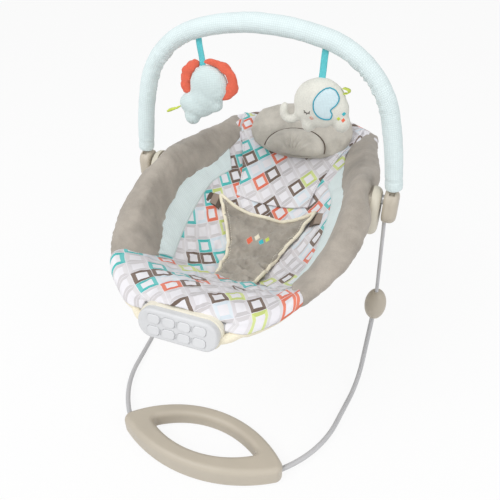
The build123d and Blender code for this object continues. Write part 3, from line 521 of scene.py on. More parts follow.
def printed_cotton(name, width=0.037, height=0.045):
    """White cotton printed with bold open diamonds in half-drop rows, shaded on two of their sides."""
    made = Finish(name, Sheen_Weight=0.1, Specular_IOR_Level=0.2)
    u, v = made.cloth_axes()
    ink = PRINT_WHITE
    for shift in (0.0, 0.5):
        a, b = u / width + shift, v / height + shift
        cell_a, cell_b = a.floor(), b.floor()
        off_a, off_b = a - cell_a - 0.5, b - cell_b - 0.5
        outline = abs(abs(off_a) + abs(off_b) - 0.385) < 0.1
        spot = made.node("CombineXYZ", None, {0: cell_a * 3.7 + 11 * shift, 1: cell_b * 2.3, 2: shift})
        pick = made.node("TexWhiteNoise", {"noise_dimensions": "3D"}, {"Vector": spot})
        deep, light = [made.ramp(pick, [(i / len(inks), c) for i, c in enumerate(inks)], "CONSTANT")
                       for inks in (PRINT_INKS, PRINT_LIGHTS)]
        ink = made.mix(outline, ink, made.mix((off_a * off_b) > 0, deep, light))
    shade = made.noise(14, 3)
    clouds = made.ramp(shade, [(0.3, (0.8, 0.8, 0.82, 1)), (0.7, (1, 1, 1, 1))])
    thread = (u * 5200).sine() * (v * 5200).sine()
    return made.cover(made.mix(0.35, ink, clouds, "MULTIPLY"), 0.78 + shade * 0.12,
                      thread * 0.3 + made.noise(160, 3) * 0.7, 0.0004)


def plain_cloth(name, colour, grain=600, depth=0.0004, sheen=0.1):
    made = Finish(name, Sheen_Weight=sheen, Specular_IOR_Level=0.2)
    soft, fine = made.noise(40, 3), made.noise(grain, 2)
    tone = made.shades(soft * 0.5 + fine * 0.5, colour, (0.3, 0.85), (0.5, 1), (0.7, 1.1))
    return made.cover(tone, 0.82 + fine * 0.14, fine * 0.7 + soft * 0.3, depth)


def ribbed_cloth(name, colour, pitch, sheen=0.2):
    """Webbing or ribbon with ribs across it."""
    made = Finish(name, Sheen_Weight=sheen, Specular_IOR_Level=0.35)
    rib, fine = (made.cloth_axes()[1] * (2 * pi / pitch)).sine() * 0.5 + 0.5, made.noise(800, 2)
    tone = made.shades(rib * 0.6 + fine * 0.4, colour, (0.2, 0.8), (0.6, 1), (0.9, 1.12))
    return made.cover(tone, 0.6 + fine * 0.2, rib, 0.0003)


def moulded(name, colour, roughness):
    """Satin moulded plastic: faint cloudiness and a fine spark-eroded grain."""
    made = Finish(name, Specular_IOR_Level=0.45)
    cloud, grain = made.noise(9, 3), made.noise(1500, 2)
    tone = made.shades(cloud, colour, (0.3, 0.95), (0.7, 1.04))
    return made.cover(tone, roughness + cloud * 0.08 + grain * 0.05, grain, 0.00006)


def painted(name, colour, roughness):
    """Powder coat with its fine orange peel."""
    made = Finish(name, Coat_Weight=0.15, Coat_Roughness=0.3)
    peel, cloud = made.noise(700, 2), made.noise(12, 2)
    tone = made.shades(cloud, colour, (0.3, 0.94), (0.7, 1.05))
    return made.cover(tone, roughness + peel * 0.1, peel, 0.00012)


def metal(name, colour, roughness):
    made = Finish(name, Metallic=1.0)
    streak = made.noise(300, 2)
    tone = made.shades(streak, colour, (0.3, 0.85), (0.7, 1))
    return made.cover(tone, roughness + streak * 0.15, streak, 0.00003)


COATS = {
    "taupe_plastic": moulded("taupe_moulding", tint(190, 181, 166), 0.36),
    "leg_metal": painted("grey_powder_coat", tint(190, 190, 192), 0.4),
    "screw_steel": metal("zinc_steel", (0.6, 0.6, 0.6, 1), 0.35),
    "foot_rubber": moulded("foot_rubber", tint(60, 58, 56), 0.7),
    "cream_plastic": moulded("cream_moulding", tint(236, 231, 214), 0.38),
    "hub_plastic": moulded("hub_moulding", tint(176, 168, 154), 0.45),
    "sleeve_fabric": grid_cloth("sleeve_check", tint(219, 233, 234), 0.0032),
    "border_plush": plush("border_plush", tint(169, 161, 151)),
    "seat_print": printed_cotton("seat_print"),
    "harness_plush": plush("harness_velour", tint(165, 158, 148)),
    "strap_webbing": ribbed_cloth("brown_webbing", tint(98, 84, 74), 0.0022),
    "ribbon_teal": ribbed_cloth("teal_ribbon", tint(96, 204, 212), 0.0016, 0.4),
    "elephant_plush": plain_cloth("cream_fleece", tint(216, 215, 206), 500, 0.0006, 0.3),
    "lion_plush": grid_cloth("lion_check", tint(209, 224, 224), 0.0026, toy=True),
    "mane_felt": plain_cloth("coral_felt", tint(220, 104, 82), 420, 0.0006, 0.2),
    "face_plastic": moulded("grey_face", tint(209, 210, 212), 0.42),
    "cover_plastic": moulded("beige_cover", tint(208, 202, 186), 0.4),
    "buckle_plastic": moulded("taupe_buckle", tint(150, 134, 122), 0.42),
    "ear_check": grid_cloth("ear_check", tint(206, 226, 232), 0.0022, toy=True),
    "headrest_velour": plush("headrest_velour", tint(194, 189, 179), 0.0006),
    "button_plastic": moulded("grey_keys", tint(213, 214, 216), 0.4),
    "board_laminate": moulded("board_laminate", tint(40, 110, 70), 0.5),
    "motor_metal": metal("plated_can", (0.62, 0.62, 0.64, 1), 0.3),
    "cell_metal": metal("cell_can", (0.5, 0.5, 0.53, 1), 0.35),
}
aqua_strip_cloth = grid_cloth("strip_check", tint(225, 238, 238), 0.0034)
lining_cloth = plain_cloth("beige_lining", tint(196, 188, 172))
cream_piping = plain_cloth("cream_piping", tint(236, 228, 206))
brown_piping = plain_cloth("brown_piping", tint(92, 80, 70))
lime_cloth = plain_cloth("lime_cloth", tint(200, 214, 92))
thread_cream = plain_cloth("cream_thread", tint(238, 234, 222))
thread_teal = plain_cloth("teal_thread", tint(60, 158, 180))
thread_dark = plain_cloth("dark_thread", tint(70, 60, 56))
thread_pale = plain_cloth("pale_thread", tint(206, 222, 224))
thread_grey = plain_cloth("grey_thread", tint(150, 144, 138))
thread_blush = plain_cloth("blush_thread", tint(230, 176, 160))
coral_cloth = plain_cloth("coral_cloth", tint(228, 110, 84))
teal_cloth = plain_cloth("teal_cloth", tint(70, 184, 196))

# these nodes wear another coat than the one of their material slot
OWN_COATS = {"side_cover_left": "cover_plastic", "side_cover_right": "cover_plastic",
             "waist_buckles": "buckle_plastic"}
slot_of = {entry["node"]: entry["material_slot"] for entry in frame["record"]["subparts"]}
for node_name, node_object in frame["nodes"].items():
    for holder in node_object.material_slots:
        holder.material = COATS[OWN_COATS.get(node_name, slot_of[node_name])]

# ---- toy bar sleeve and ribbons ----


def bar_half():
    """Points from the apex down the right side of the arch: sideways and up, in its own plane."""
    points, x, z, turn = [], 0.0, BAR_HEIGHT, 0.0
    for radius, sweep in BAR_ARCS:
        for a in np.linspace(0, sweep, 40)[(1 if points else 0):]:
            points.append((x + radius * (sin(turn + a) - sin(turn)),
                           z - radius * (cos(turn) - cos(turn + a))))
        x, z = points[-1]
        turn += sweep
    for run in np.linspace(0, BAR_LEG, 10)[1:]:
        points.append((x + run * cos(turn), z - run * sin(turn)))
    return np.array(points)


def bar_point(flat):
    """A point of the arch's own plane in the frame."""
    x, up = flat
    return np.array((x, HUB_Y - up * sin(BAR_LEAN), PIVOT_Z + up * cos(BAR_LEAN)))


def arch_path(count):
    """Middle line of the whole arch, left to right."""
    half = bar_half()
    whole = np.vstack([half[::-1] * (-1, 1), half[1:]])
    return smooth_line([bar_point(p) for p in whole[::4]], count)


def make_sleeve():
    """Stuffed sleeve round the arch: creases, hems near its ends, a seam along its underside."""
    path = arch_path(420)
    along = tangents(path)
    fore = np.array((0.0, -cos(BAR_LEAN), -sin(BAR_LEAN)))
    rings = []
    for p, t, s in zip(path, along, np.linspace(0, 1, len(path))):
        out = np.cross(fore, t)
        end = min(s, 1 - s)
        bend = np.exp(-((end - 0.24) / 0.10) ** 2)
        hem = -0.0010 * np.exp(-((end - 0.022) / 0.0025) ** 2) - 0.0006 * np.exp(-(end / 0.004) ** 2)
        ring = []
        for a in np.linspace(0, 2 * pi, 44, endpoint=False):
            inner = max(0.0, -sin(a))
            crease = noise.noise(Vector((s * 85, cos(a) * 1.1, sin(a) * 1.1 + 4)))
            soft = noise.noise(Vector((s * 22, cos(a) * 0.8 + 9, sin(a) * 0.8)))
            fold = 0.0004 * crease + 0.0007 * soft + 0.0022 * bend * inner * (abs(crease) * 2 - 0.6)
            seam = -0.0007 * np.exp(-((a - 1.45 * pi) / 0.07) ** 2)
            ring.append(p + (SLEEVE_R - 0.0003 + fold + seam + hem) * (cos(a) * fore + sin(a) * out))
        rings.append(ring)
    rings = np.array(rings)
    first, last = [[path[end] + along[end] * sign * 0.00112 * (k + 1) + (rings[end] - path[end]) * shrink
                    for k, shrink in enumerate((0.93, 0.80, 0.60))] for end, sign in ((0, -1), (-1, 1))]
    sleeve = closed_skin("bar_sleeve", np.vstack([first[::-1], rings, last]), COATS["sleeve_fabric"])
    dress(sleeve, "toy_bar", "sleeve_fabric", "toy_bar_sleeve", fill=0.8)


def ribbon_anchor(side):
    """Middle of the sleeve where a ribbon hangs, and the arch's turn there."""
    x, up = BAR_ARCS[0][0] * sin(RIBBON_TURN), BAR_HEIGHT - BAR_ARCS[0][0] * (1 - cos(RIBBON_TURN))
    centre = bar_point((x, up))
    return np.array((side * centre[0], centre[1], centre[2])), side * RIBBON_TURN


make_sleeve()

# ---- seat: rim, seams and covers ----
# right-hand lines; the left ones mirror them. Sideways, behind the leg exits, height, roll radius (mm)
RIM = np.array([
    (141, 38, 347, 10), (156, 66, 351, 12.5), (165, 95, 355, 16), (174, 140, 361, 21),
    (179.5, 186, 371.5, 22.5), (180, 235, 383, 24), (178, 285, 393.5, 24), (174, 350, 391, 22),
    (167.5, 405, 389, 20.5), (158.5, 455, 386.5, 19), (151, 500, 384, 19), (145, 538, 385, 19),
]) * MM
TUBE = np.array([
    (131, 36, 335.5), (149, 62, 343), (165, 94, 352), (173, 140, 361.5), (179.5, 186, 371.5),
    (180, 235, 383), (178, 285, 392), (176, 350, 392), (170, 405, 391.5), (156, 455, 389.5),
    (142, 496, 387.5), (130, 534, 387),
]) * MM
SEAM = [(115, 107), (136, 167), (144, 198), (147, 256), (138, 322), (124, 380), (116, 425), (110, 462)]
STRIP = [(102, 138), (110, 165), (117, 200), (121, 240), (121, 285), (118, 328), (110, 358), (98, 384)]
STRIP_END = 384
HUB_CLEAR_X = 0.1935
SEAM_DEPTH = 0.011            # how far a border reaches below its seam


def side_frame(path):
    """Unit vectors away from the seat's middle, at each point of a right-hand line."""
    away = unit(np.cross(np.gradient(path, axis=0), UP))
    return away * np.where((away * (path - (0, HUB_Y, 0))).sum(axis=1, keepdims=True) < 0, -1, 1)


def border_rings(rim, seam, core):
    """Closed sections from the rim roll, round the frame tube, to the seam on the sling."""
    rings = []
    for (*centre, radius), inner, tube_at, away in zip(rim, seam, core, side_frame(rim[:, :3])):
        centre = np.array(centre)
        near_hub = np.exp(-((centre[1] - HUB_Y) / 0.045) ** 4)
        out = radius - near_hub * max(0.0, radius - (HUB_CLEAR_X - abs(centre[0])))
        low_r = max(0.0088, radius - np.linalg.norm(tube_at - centre))

        def at(a, b):
            return centre + away * a * (out if a > 0 else radius) + UP * b * radius

        def low(a, b):
            return tube_at + away * a * min(low_r, out) + UP * b * low_r

        flank = at(-0.62, 0.74)
        middle = (flank + inner) / 2 + UP * 0.006 - away * 0.001
        if np.dot(centre - tube_at, away) > 0.004:
            flank[2] = max(flank[2], tube_at[2] + 0.0095)
            middle[2] = max(middle[2], tube_at[2] + 0.004)
        knots = [low(0.1, -1.0), low(0.8, -0.62), at(1.0, 0.0), at(0.72, 0.68), at(0.0, 0.98), flank, middle,
                 inner + UP * 0.0012, inner - UP * 0.004, inner - UP * SEAM_DEPTH,
                 (low(-0.9, -0.3) + inner) / 2 - UP * SEAM_DEPTH * 0.6, low(-0.55, -0.85)]
        rings.append(smooth_line(knots + [knots[0]], 57)[:-1])
    return np.array(rings)


def make_border(side_name, side):
    """Stuffed velour roll over the side of the frame, sewn down along the bowl."""
    share = np.linspace(0, 1, 150)
    rim = lined_up(smooth_line(RIM + (0, EXIT_Y, 0, 0), 400), share)
    core = lined_up(smooth_line(TUBE + (0, EXIT_Y, 0), 400), share)
    rings = border_rings(rim, lined_up(seam_line(SEAM, 400), share), core)
    rings[:, :, 0] *= side
    border = closed_skin(f"border_{side_name}", rings, COATS["border_plush"])
    border = puff(border, 2.0, 0.003, 0.0055)
    seed = 3 if side > 0 else 4
    ripple(border, 0.0013, 0.060, seed, (1.1, 0.42, 1.6))
    ripple(border, 0.0005, 0.016, seed + 20, (1.2, 0.7, 1.2))
    dress(border, SEAT, "border_plush", f"edge_roll_front_{side_name}",
          *(["edge_roll_back"] if side > 0 else []), fill=0.7)


def make_strip(side_name, side):
    """Quilted pale strip between the border and the printed bowl."""
    share, across = np.linspace(0, 1, 150), np.linspace(0, 1, 20)
    outer = lined_up(seam_line([(x + 5, b) for x, b in SEAM], 400, 0.0005), share * 0.90)
    inner = lined_up(seam_line(STRIP, 400, 0.0005), share)
    grid = outer[:, None] * (1 - across[:, None]) + inner[:, None] * across[:, None]
    puffed = np.sin(pi * across)
    grid = on_bowl(grid[..., 0], grid[..., 1], 0.0008 + 0.0042 * puffed ** 0.6)
    grid = rumple(grid, np.broadcast_to(UP, grid.shape), 0.03, (2.0, 0.6, 1.0), 0.0016 * puffed, 6 + side)
    grid[:, :, 0] *= side
    strip = skin(f"aqua_strip_{side_name}", grid if side < 0 else grid[:, ::-1], aqua_strip_cloth)
    dress(thicken(strip, 0.004), SEAT, "sleeve_fabric", fill=0.4)
    for number, row in enumerate((2, 17)):
        stitch_row(f"strip_stitch_{side_name}_{number}", grid[2:-2, row] + UP * 0.0022,
                   thread_pale, 0.0042, 0.0026, 0.00032)


HEAD_SIDE = [(116, 478), (126, 512), (120, 545)]


def make_bowl_print():
    """Printed cotton over the whole bowl, with folds where nothing holds it down."""
    behind, across = np.linspace(112, 544, 180), np.linspace(-1, 1, 120)
    half = half_at(SEAM + HEAD_SIDE, behind)
    grid = on_bowl(across * (half + 0.002), EXIT_Y + behind[:, None] * MM)
    free = np.where(behind[:, None] < STRIP_END, half_at(STRIP, behind), half - 0.008)
    fade = np.clip((free - np.abs(grid[..., 0])) / 0.012, 0, 1)
    up = upward(grid)
    grid = rumple(grid, up, 0.045, (0.6, 1.6, 1.0), 0.0026 * fade, 9)
    grid = rumple(grid, up, 0.018, (0.5, 1.4, 1.0), 0.0008 * fade, 10)
    seat = skin("seat_print_panel", grid, COATS["seat_print"])
    dress(thicken(seat, 0.005), SEAT, "seat_print", "seat_sling", fill=0.3)


BACK_EDGE = [(72, 345), (79, 393), (93, 430), (109, 469), (126, 508), (131, 540)]


def make_back_strip():
    """The printed back panel, sewn over the bowl from the headrest down to the harness."""
    behind, across = np.linspace(345, 540, 120), np.linspace(-1, 1, 100)
    grid = on_bowl(across * half_at(BACK_EDGE, behind), EXIT_Y + behind[:, None] * MM,
                   0.0045 + 0.004 * (1 - across ** 4))
    grid = rumple(grid, upward(grid), 0.06, (1.0, 1.4, 1.0), 0.0022, 12)
    strip = skin("back_print_panel", grid, COATS["seat_print"])
    dress(thicken(strip, 0.004), SEAT, "seat_print", fill=0.35)
    for side_name, column in (("left", 2), ("right", -3)):
        stitch_row(f"back_stitch_{side_name}", grid[3:-3, column] + UP * 0.0003,
                   thread_grey, 0.0042, 0.0026, 0.00035)


HEAD_RIM = [
    (151, 505, 383, 16.5), (145, 523, 384, 16.5), (128, 540, 387, 17), (100, 549, 392, 17.5),
    (60, 556, 401, 18), (0, 559, 408, 18),
]


def make_head_rim():
    """Printed roll round the head end, between the ends of the velour border."""
    whole = np.array(HEAD_RIM + [(-x, b, z, r) for x, b, z, r in HEAD_RIM[-2::-1]]) * MM
    rim = smooth_line(whole + (0, EXIT_Y, 0, 0), 170)
    inner = on_bowl(rim[:, 0] * 0.80, np.minimum(rim[:, 1] - 0.022, EXIT_Y + 0.530), 0.001)
    rings = border_rings(rim, inner, rim[:, :3])
    roll = closed_skin("head_rim", rings, COATS["seat_print"])
    normals = grid_normals(rings)
    centre = rings.mean(axis=1, keepdims=True)
    normals *= np.sign(((rings - centre) * normals).sum(axis=2, keepdims=True).mean())
    set_points(roll, rumple(rings, normals, 0.045, (1, 1, 1), 0.0014, 15))
    dress(roll, SEAT, "seat_print", fill=0.6)


# top of the nose cover's side: over the border's end, then along the front tube; with its roll radius
NOSE_SIDE = [
    (113, 112, 309, 0.5), (125, 88, 329, 3), (135, 64, 348, 6), (141, 40, 357, 9.5),
    (132, 24, 351, 9.8), (121, 12, 343.5, 10), (110, 4, 338, 10.2), (98, -5, 334, 10.6),
    (87, -13, 331, 10.4), (76, -17, 329.5, 9.4), (62, -18, 329, 9),
]
NOSE_MIDDLE = [(0, 150, 266), (0, 100, 287), (0, 48, 322), (0, 8, 341), (0, -14, 346), (0, -25, 342)]
NOSE_TAIL = [(108, 3, 331), (94, -6, 322.5), (80, -16, 316), (67, -27, 311), (54, -33, 309)]


def nose_cord(name, path, radius, around, seed):
    """Soft cream cord on the nose cover's edge."""
    cord = tube(name, path, radius, cream_piping, around)
    ripple(cord, 0.0005, 0.012, seed)
    dress(cord, SEAT, "seat_print", fill=0.5)


def make_nose():
    """Printed cover over the front tube, from the crotch fold to the control unit."""
    rows, flat, wrapped = 110, 121, 14
    side = smooth_line(np.array(NOSE_SIDE) * MM, rows)
    middle = smooth_line(np.array(NOSE_MIDDLE) * MM, rows)
    away = side_frame(side[:, :3] + (0, EXIT_Y, 0))
    run, across = np.linspace(0, 1, rows), np.linspace(-1, 1, flat)
    turn = np.radians(np.interp(run, (0, 0.35, 0.6, 1), (20, 120, 105, 70)))
    grid = np.zeros((rows, flat + 2 * wrapped, 3))
    for i in range(rows):
        w = np.abs(across) ** 2.3
        row = middle[i] + (side[i, :3] - middle[i]) * w[:, None]
        row[:, 0] = across * side[i, 0]
        row[:, 2] += 0.006 * sin(pi * run[i]) ** 0.7 * (1 - w)
        grid[i, wrapped:-wrapped] = row
        radius = side[i, 3]
        centre = side[i, :3] - UP * radius
        for k in range(wrapped):
            a = turn[i] * (k + 1) / wrapped
            p = centre + radius * (sin(a) * away[i] + cos(a) * UP)
            grid[i, flat + wrapped + k] = p
            grid[i, wrapped - 1 - k] = p * (-1, 1, 1)
    grid[:, :, 1] += EXIT_Y
    normal = grid_normals(grid)
    normal *= np.sign(normal[rows // 2, wrapped + flat // 2, 2])
    calm = np.full(flat + 2 * wrapped, 0.2)
    calm[wrapped:-wrapped] = 1 - 0.8 * np.abs(across) ** 5
    grid = rumple(grid, normal, 0.045, (0.7, 1.8, 1.2), 0.0032 * calm, 21)
    grid = rumple(grid, normal, 0.016, (0.6, 1.5, 1.0), 0.0010 * calm, 22)
    nose = skin("nose_cover", grid[::-1], COATS["seat_print"])
    dress(thicken(nose, 0.003), SEAT, "seat_print", fill=0.5)
    hem = slice(34, None, 4)
    sunk = side[hem, 3:] * UP + 0.0012 * UP - 0.0010 * away[hem]
    path = side[hem, :3] - sunk + (0, EXIT_Y, 0)
    tail = smooth_line(np.array(NOSE_TAIL) * MM + (0, EXIT_Y, 0), 40)
    taper = np.interp(np.linspace(0, 1, 40), (0, 0.5, 1), (0.0045, 0.0075, 0.0065))
    for side_name, sign in SIDES:
        nose_cord(f"nose_hem_{side_name}", path * (sign, 1, 1), side[hem, 3] - 0.0021, 18, 40 + sign)
        nose_cord(f"nose_corner_{side_name}", tail * (sign, 1, 1), taper, 16, 44 + sign)


def make_lining():
    """Plain underside of the seat, hanging lower under the nose."""
    y, across = EXIT_Y + np.linspace(0.055, 0.545, 120)[:, None], np.linspace(-1, 1, 70)
    sunk = 0.0112 + 0.012 * np.maximum(0, 1 - (y - EXIT_Y) / 0.11)
    grid = on_bowl(across * (station(y)[0] * 0.95), y, -sunk)
    lining = skin("seat_lining", grid[::-1], lining_cloth)
    dress(thicken(lining, 0.003), SEAT, "seat_print", fill=0.2)


make_lining()
make_bowl_print()
make_back_strip()
make_head_rim()
make_nose()
for side_name, side in SIDES:
    make_border(side_name, side)
    make_strip(side_name, side)

# ---- headrest and pillow ----
HEAD_TILT = radians(33)
HEAD_ALONG = np.array((0.0, cos(HEAD_TILT), sin(HEAD_TILT)))
HEAD_NORMAL = np.array((0.0, -sin(HEAD_TILT), cos(HEAD_TILT)))
HEAD_CENTRE = np.array((0.011, EXIT_Y + 0.4955, 0.402))
HEAD_HALF = (0.110, 0.066)
PILLOW_HALF, PILLOW_POWER = (0.060, 0.047), 2.1


def oval_point(centre, angle, power, scale, half, low_half, lift):
    """A point of a superellipse in the headrest's plane, less tall below its middle."""
    c, d = cos(angle), sin(angle)
    reach = scale * (abs(c) ** power + abs(d) ** power) ** (-1 / power)
    tall = half[1] if d > 0 else low_half
    return centre + half[0] * reach * c * ACROSS + tall * reach * d * HEAD_ALONG + lift * HEAD_NORMAL


def pillow_form(centre, half, low_half, crown, belly, power, rows=30, cols=110):
    """Closed cushion in the headrest's plane: its outline, and crowns above and below the seam."""
    rings, spread = [], np.linspace(0.002, 1, rows)
    for k, s in enumerate(np.concatenate([spread, spread[-2::-1]])):
        lift = (crown if k < rows else -belly) * (1 - s ** 2.8) ** 0.55
        rings.append([oval_point(centre, a, power, s, half, low_half, lift)
                      for a in np.linspace(0, 2 * pi, cols, endpoint=False)])
    return rings


def gather(obj, origin, depth, folds, reach):
    """Creases that fan out from a gathered point and die away over a distance."""
    points, normals = get_points(obj), get_points(obj, "normal")
    flat = points - origin
    x, v = flat[:, 0], flat @ HEAD_ALONG
    angle, far = np.arctan2(x, v + 0.010), np.hypot(x, v)
    wave = np.sin(folds * angle + 2.1 * np.sin(2.3 * angle) + 6 * far)
    fall = np.exp(-(far / reach) ** 2) * np.clip(normals @ HEAD_NORMAL, 0, 1)
    set_points(obj, points + normals * (depth * wave * fall)[:, None])


def make_headrest():
    """Stuffed headrest cushion, gathered along its lower edge."""
    rings = pillow_form(HEAD_CENTRE, HEAD_HALF, HEAD_HALF[1] * 1.05, 0.0150, 0.013, 2.35)
    cushion = puff(closed_skin("headrest_cushion", rings, COATS["headrest_velour"]), 4.0, 0.004, 0.0045)
    gather(cushion, HEAD_CENTRE - 0.056 * HEAD_ALONG, 0.0022, 17, 0.060)
    ripple(cushion, 0.0010, 0.034, 52, (1.5, 0.8, 0.8))
    dress(cushion, SEAT, "border_plush", "headrest", fill=0.7)


def make_pillow():
    """Half-moon neck pillow on the headrest, gathered at the middle of its lower edge."""
    centre = HEAD_CENTRE + 0.004 * ACROSS - 0.0615 * HEAD_ALONG + 0.0215 * HEAD_NORMAL
    rings = pillow_form(centre, PILLOW_HALF, 0.011, 0.0185, 0.012, PILLOW_POWER)
    pillow = puff(closed_skin("crescent_pillow", rings, COATS["headrest_velour"]), 4.0, 0.003, 0.0032)
    gather(pillow, centre + 0.002 * ACROSS - 0.012 * HEAD_ALONG, 0.0034, 15, 0.030)
    ripple(pillow, 0.0006, 0.016, 54, (1.4, 0.8, 0.8))
    dress(pillow, SEAT, "border_plush", "head_pillow", fill=0.8)
    line = [oval_point(centre, a, PILLOW_POWER, 1.03, (0.059, PILLOW_HALF[1]), 0.010, 0.0004)
            for a in np.linspace(radians(-6), radians(186), 60)]
    dress(tube("pillow_piping", smooth_line(line, 130), 0.0011, brown_piping, 8), SEAT, "strap_webbing")


make_headrest()
make_pillow()

# ---- harness ----
PAD_SIDE = [(34, 150), (42, 212), (52, 252), (73, 290), (97, 322)]
PAD_PATCHES = ((-15, 268, 9.0, coral_cloth), (-3, 276, 7.5, cream_piping),
               (8, 268, 7.5, teal_cloth), (17, 276, 6.5, lime_cloth))


def diamond(half_width, steps):
    """Outline of a diamond two units high, with a number of steps to each side."""
    corners = np.array([(0, 1), (half_width, 0), (0, -1), (-half_width, 0)])
    share = np.linspace(0, 1, steps, endpoint=False)[:, None]
    return np.concatenate([a + (b - a) * share for a, b in zip(corners, np.roll(corners, -1, axis=0))])


def make_harness():
    """Velour crotch pad bound with cream piping, four small diamonds sewn on it."""
    rows, across = 90, np.linspace(-1, 1, 80)
    behind, half = smooth_line([(b, x) for x, b in PAD_SIDE], rows).T[..., None]
    sag = 7 * (1 - across ** 2) * (np.arange(rows)[:, None] / rows) ** 3
    grid = on_bowl(across * half * MM, EXIT_Y + (behind - sag) * MM, 0.0085 + 0.006 * (1 - across ** 4))
    up = upward(grid)
    from_patches = (grid[..., 0] / 0.034) ** 2 + ((grid[..., 1] - EXIT_Y - 0.271) / 0.019) ** 2
    loose = 1 - 0.92 * np.exp(-from_patches)
    grid = rumple(grid, up, 0.030, (1.3, 0.8, 1.0), 0.0085 * loose, 31)
    grid = rumple(grid, up, 0.014, (0.9, 1.1, 1.0), 0.0030 * loose, 32)
    pad = thicken(skin("harness_pad_cover", grid, COATS["harness_plush"]), 0.007)
    dress(pad, SEAT, "harness_plush", "harness_pad", fill=0.5)
    edge = np.vstack([grid[:, 0], grid[-1, 1:-1], grid[::-1, -1]])
    cord = tube("harness_piping", smooth_line(edge[::5], 300) + UP * 0.0002, 0.0033, cream_piping)
    ripple(cord, 0.0004, 0.010, 33)
    dress(cord, SEAT, "harness_plush")
    for name, column in (("left", 5), ("right", -6)):
        stitch_row(f"harness_stitch_{name}", grid[4:-4, column] + up[4:-4, column] * 0.0002,
                   thread_cream, 0.0042, 0.0027, 0.00038)
    sit = front_of(pad, (0, 0, -1))
    for number, (x, behind, size, cloth) in enumerate(PAD_PATCHES):
        rings = [[sit(*spot) + UP * (0.0009 - 0.0013 * s ** 6)
                  for spot in (diamond(0.78, 6) * size * s + (x, behind)) * MM + (0, EXIT_Y)]
                 for s in (0.03, 0.4, 0.75, 0.94, 1.0)]
        dress(closed_skin(f"harness_patch_{number}", rings, cloth), SEAT, "harness_plush")
        stitch_row(f"harness_patch_edge_{number}", np.array([*rings[3], rings[3][0]]) + UP * 0.0003,
                   thread_cream, 0.0021, 0.0013, 0.00022)


make_harness()


def make_waist_strap(side_name, side):
    """Webbing and slim buckle that leave an upper corner of the pad and dive through the seat cover."""
    rows, cols = 40, 14
    for name, reach, half, lift, dive, depth, coat, node in (
            ("waist_webbing", (90, 129), 12.2, 4.4, 9.0, 0.0018, "strap_webbing", "waist_straps"),
            ("waist_buckle", (97, 109), 11.0, 4.9, 8.0, 0.0022, "buckle_plastic", "waist_buckles")):
        out = np.linspace(*reach, rows)[:, None]
        sunk = dive * np.clip((out - 97) / 12, 0, 1) ** 1.3
        grid = on_bowl(side * out * MM, EXIT_Y + (309.5 + np.linspace(-half, half, cols)) * MM,
                       (lift - sunk) * MM)[::-1 if side < 0 else 1]
        piece = thicken(skin(f"{name}_{side_name}", grid, COATS[coat]), depth)
        dress(piece, SEAT, "strap_webbing", *([node] if side > 0 else []))


for side_name, side in SIDES:
    make_waist_strap(side_name, side)

# ---- hanging toys ----
TOY_TOP = 0.0163 + RIBBON_DROP


def toy_point(side, across, down, fore=0.0):
    """A place on a toy: sideways from its ribbon and down from its top, in millimetres."""
    anchor, _ = ribbon_anchor(side)
    return np.array((anchor[0] + across * MM, anchor[1] - fore * MM, anchor[2] - TOY_TOP - down * MM))


def toy_ball(side, across, down, wide, deep, tall):
    return tuple(toy_point(side, across, down)), (wide * MM, deep * MM, tall * MM)


def make_ribbon(side_name, side, body):
    """Ribbon sewn to the underside of the sleeve, hanging down to the toy."""
    anchor, turn = ribbon_anchor(side)
    low = anchor[2] - TOY_TOP - 0.003
    high = anchor[2] - SLEEVE_R / cos(turn) + 0.0035
    share = np.linspace(0, 1, 40)
    aside = 0.0025 if side > 0 else -0.0050
    path = np.stack([anchor[0] + aside * share ** 1.2, anchor[1] + 0.0008 * np.sin(2.2 * pi * share),
                     low + (high - low) * share], 1)
    turned = np.clip(1.6 * share - 0.6, 0, 1)[:, None]
    cross = ACROSS * (1 - turned) + np.array((cos(turn), 0, -sin(turn))) * turned
    grid = path[:, None] + np.linspace(-0.0051, 0.0051, 6)[:, None] * cross[:, None]
    tape = thicken(skin(f"ribbon_tape_{side_name}", grid, COATS["ribbon_teal"]), 0.0009)
    dress(tape, body, "ribbon_teal", f"ribbon_{side_name}")


def band(name, line, deep, material, scallop, seed):
    """Felt band along a line of (across, down, half width) rows, with a wavy outer edge."""
    fine = smooth_line(line, 110)
    path = np.array([toy_point(-1, x, z) for x, z, _ in fine])
    rings = []
    for p, t, half, s in zip(path, tangents(path), fine[:, 2], np.linspace(0, 1, len(path))):
        side = np.cross(t, (0, 1.0, 0))
        close = min(1, 14 * min(s, 1 - s) + 0.05) ** 0.5
        wide = half * MM * close * (1 + scallop * abs(sin(pi * 5.5 * s + seed)))
        wave = 0.0022 * sin(2 * pi * 2.7 * s + seed)
        rings.append([p + side * wide * np.sign(cos(b)) * abs(cos(b)) ** 0.7
                      + (0, deep * sin(b) * close + wave * cos(b), 0)
                      for b in np.linspace(0, 2 * pi, 18, endpoint=False)])
    return closed_skin(name, rings, material)


LION_BALLS = (
    (10, 33, 33, 17, 33), (2, 52, 27, 16, 24), (-13, 66, 32, 15, 22), (-4, 62, 27, 15, 21),
    (-23, 87, 14, 12, 15), (18, 63, 15, 11, 13), (20, 60, 12, 10, 10),
)
MANE_RIGHT = (
    (4, -5, 4.0), (19, -4, 5.0), (36, 1.5, 6.5), (46.5, 11, 7.2), (51, 22, 8.2), (50.5, 32, 8.5),
    (45.5, 41, 8.0), (37, 47, 5.5), (28, 50, 4.5),
)
MANE_LEFT = (
    (-6, -3, 5), (-17, 3, 7), (-25.5, 12, 8.2), (-30.5, 23, 8.6), (-31, 35, 8.2), (-29.5, 44, 8),
    (-28, 50, 6.5),
)
LION_TAIL = ((-43, 72, 0), (-52, 77, 1), (-62, 81, 0), (-71, 85, 1))
LION_SEAM = ((-18, 20), (-22, 34), (-18, 47), (-10, 55), (-2, 62), (-6, 74), (-16, 80))


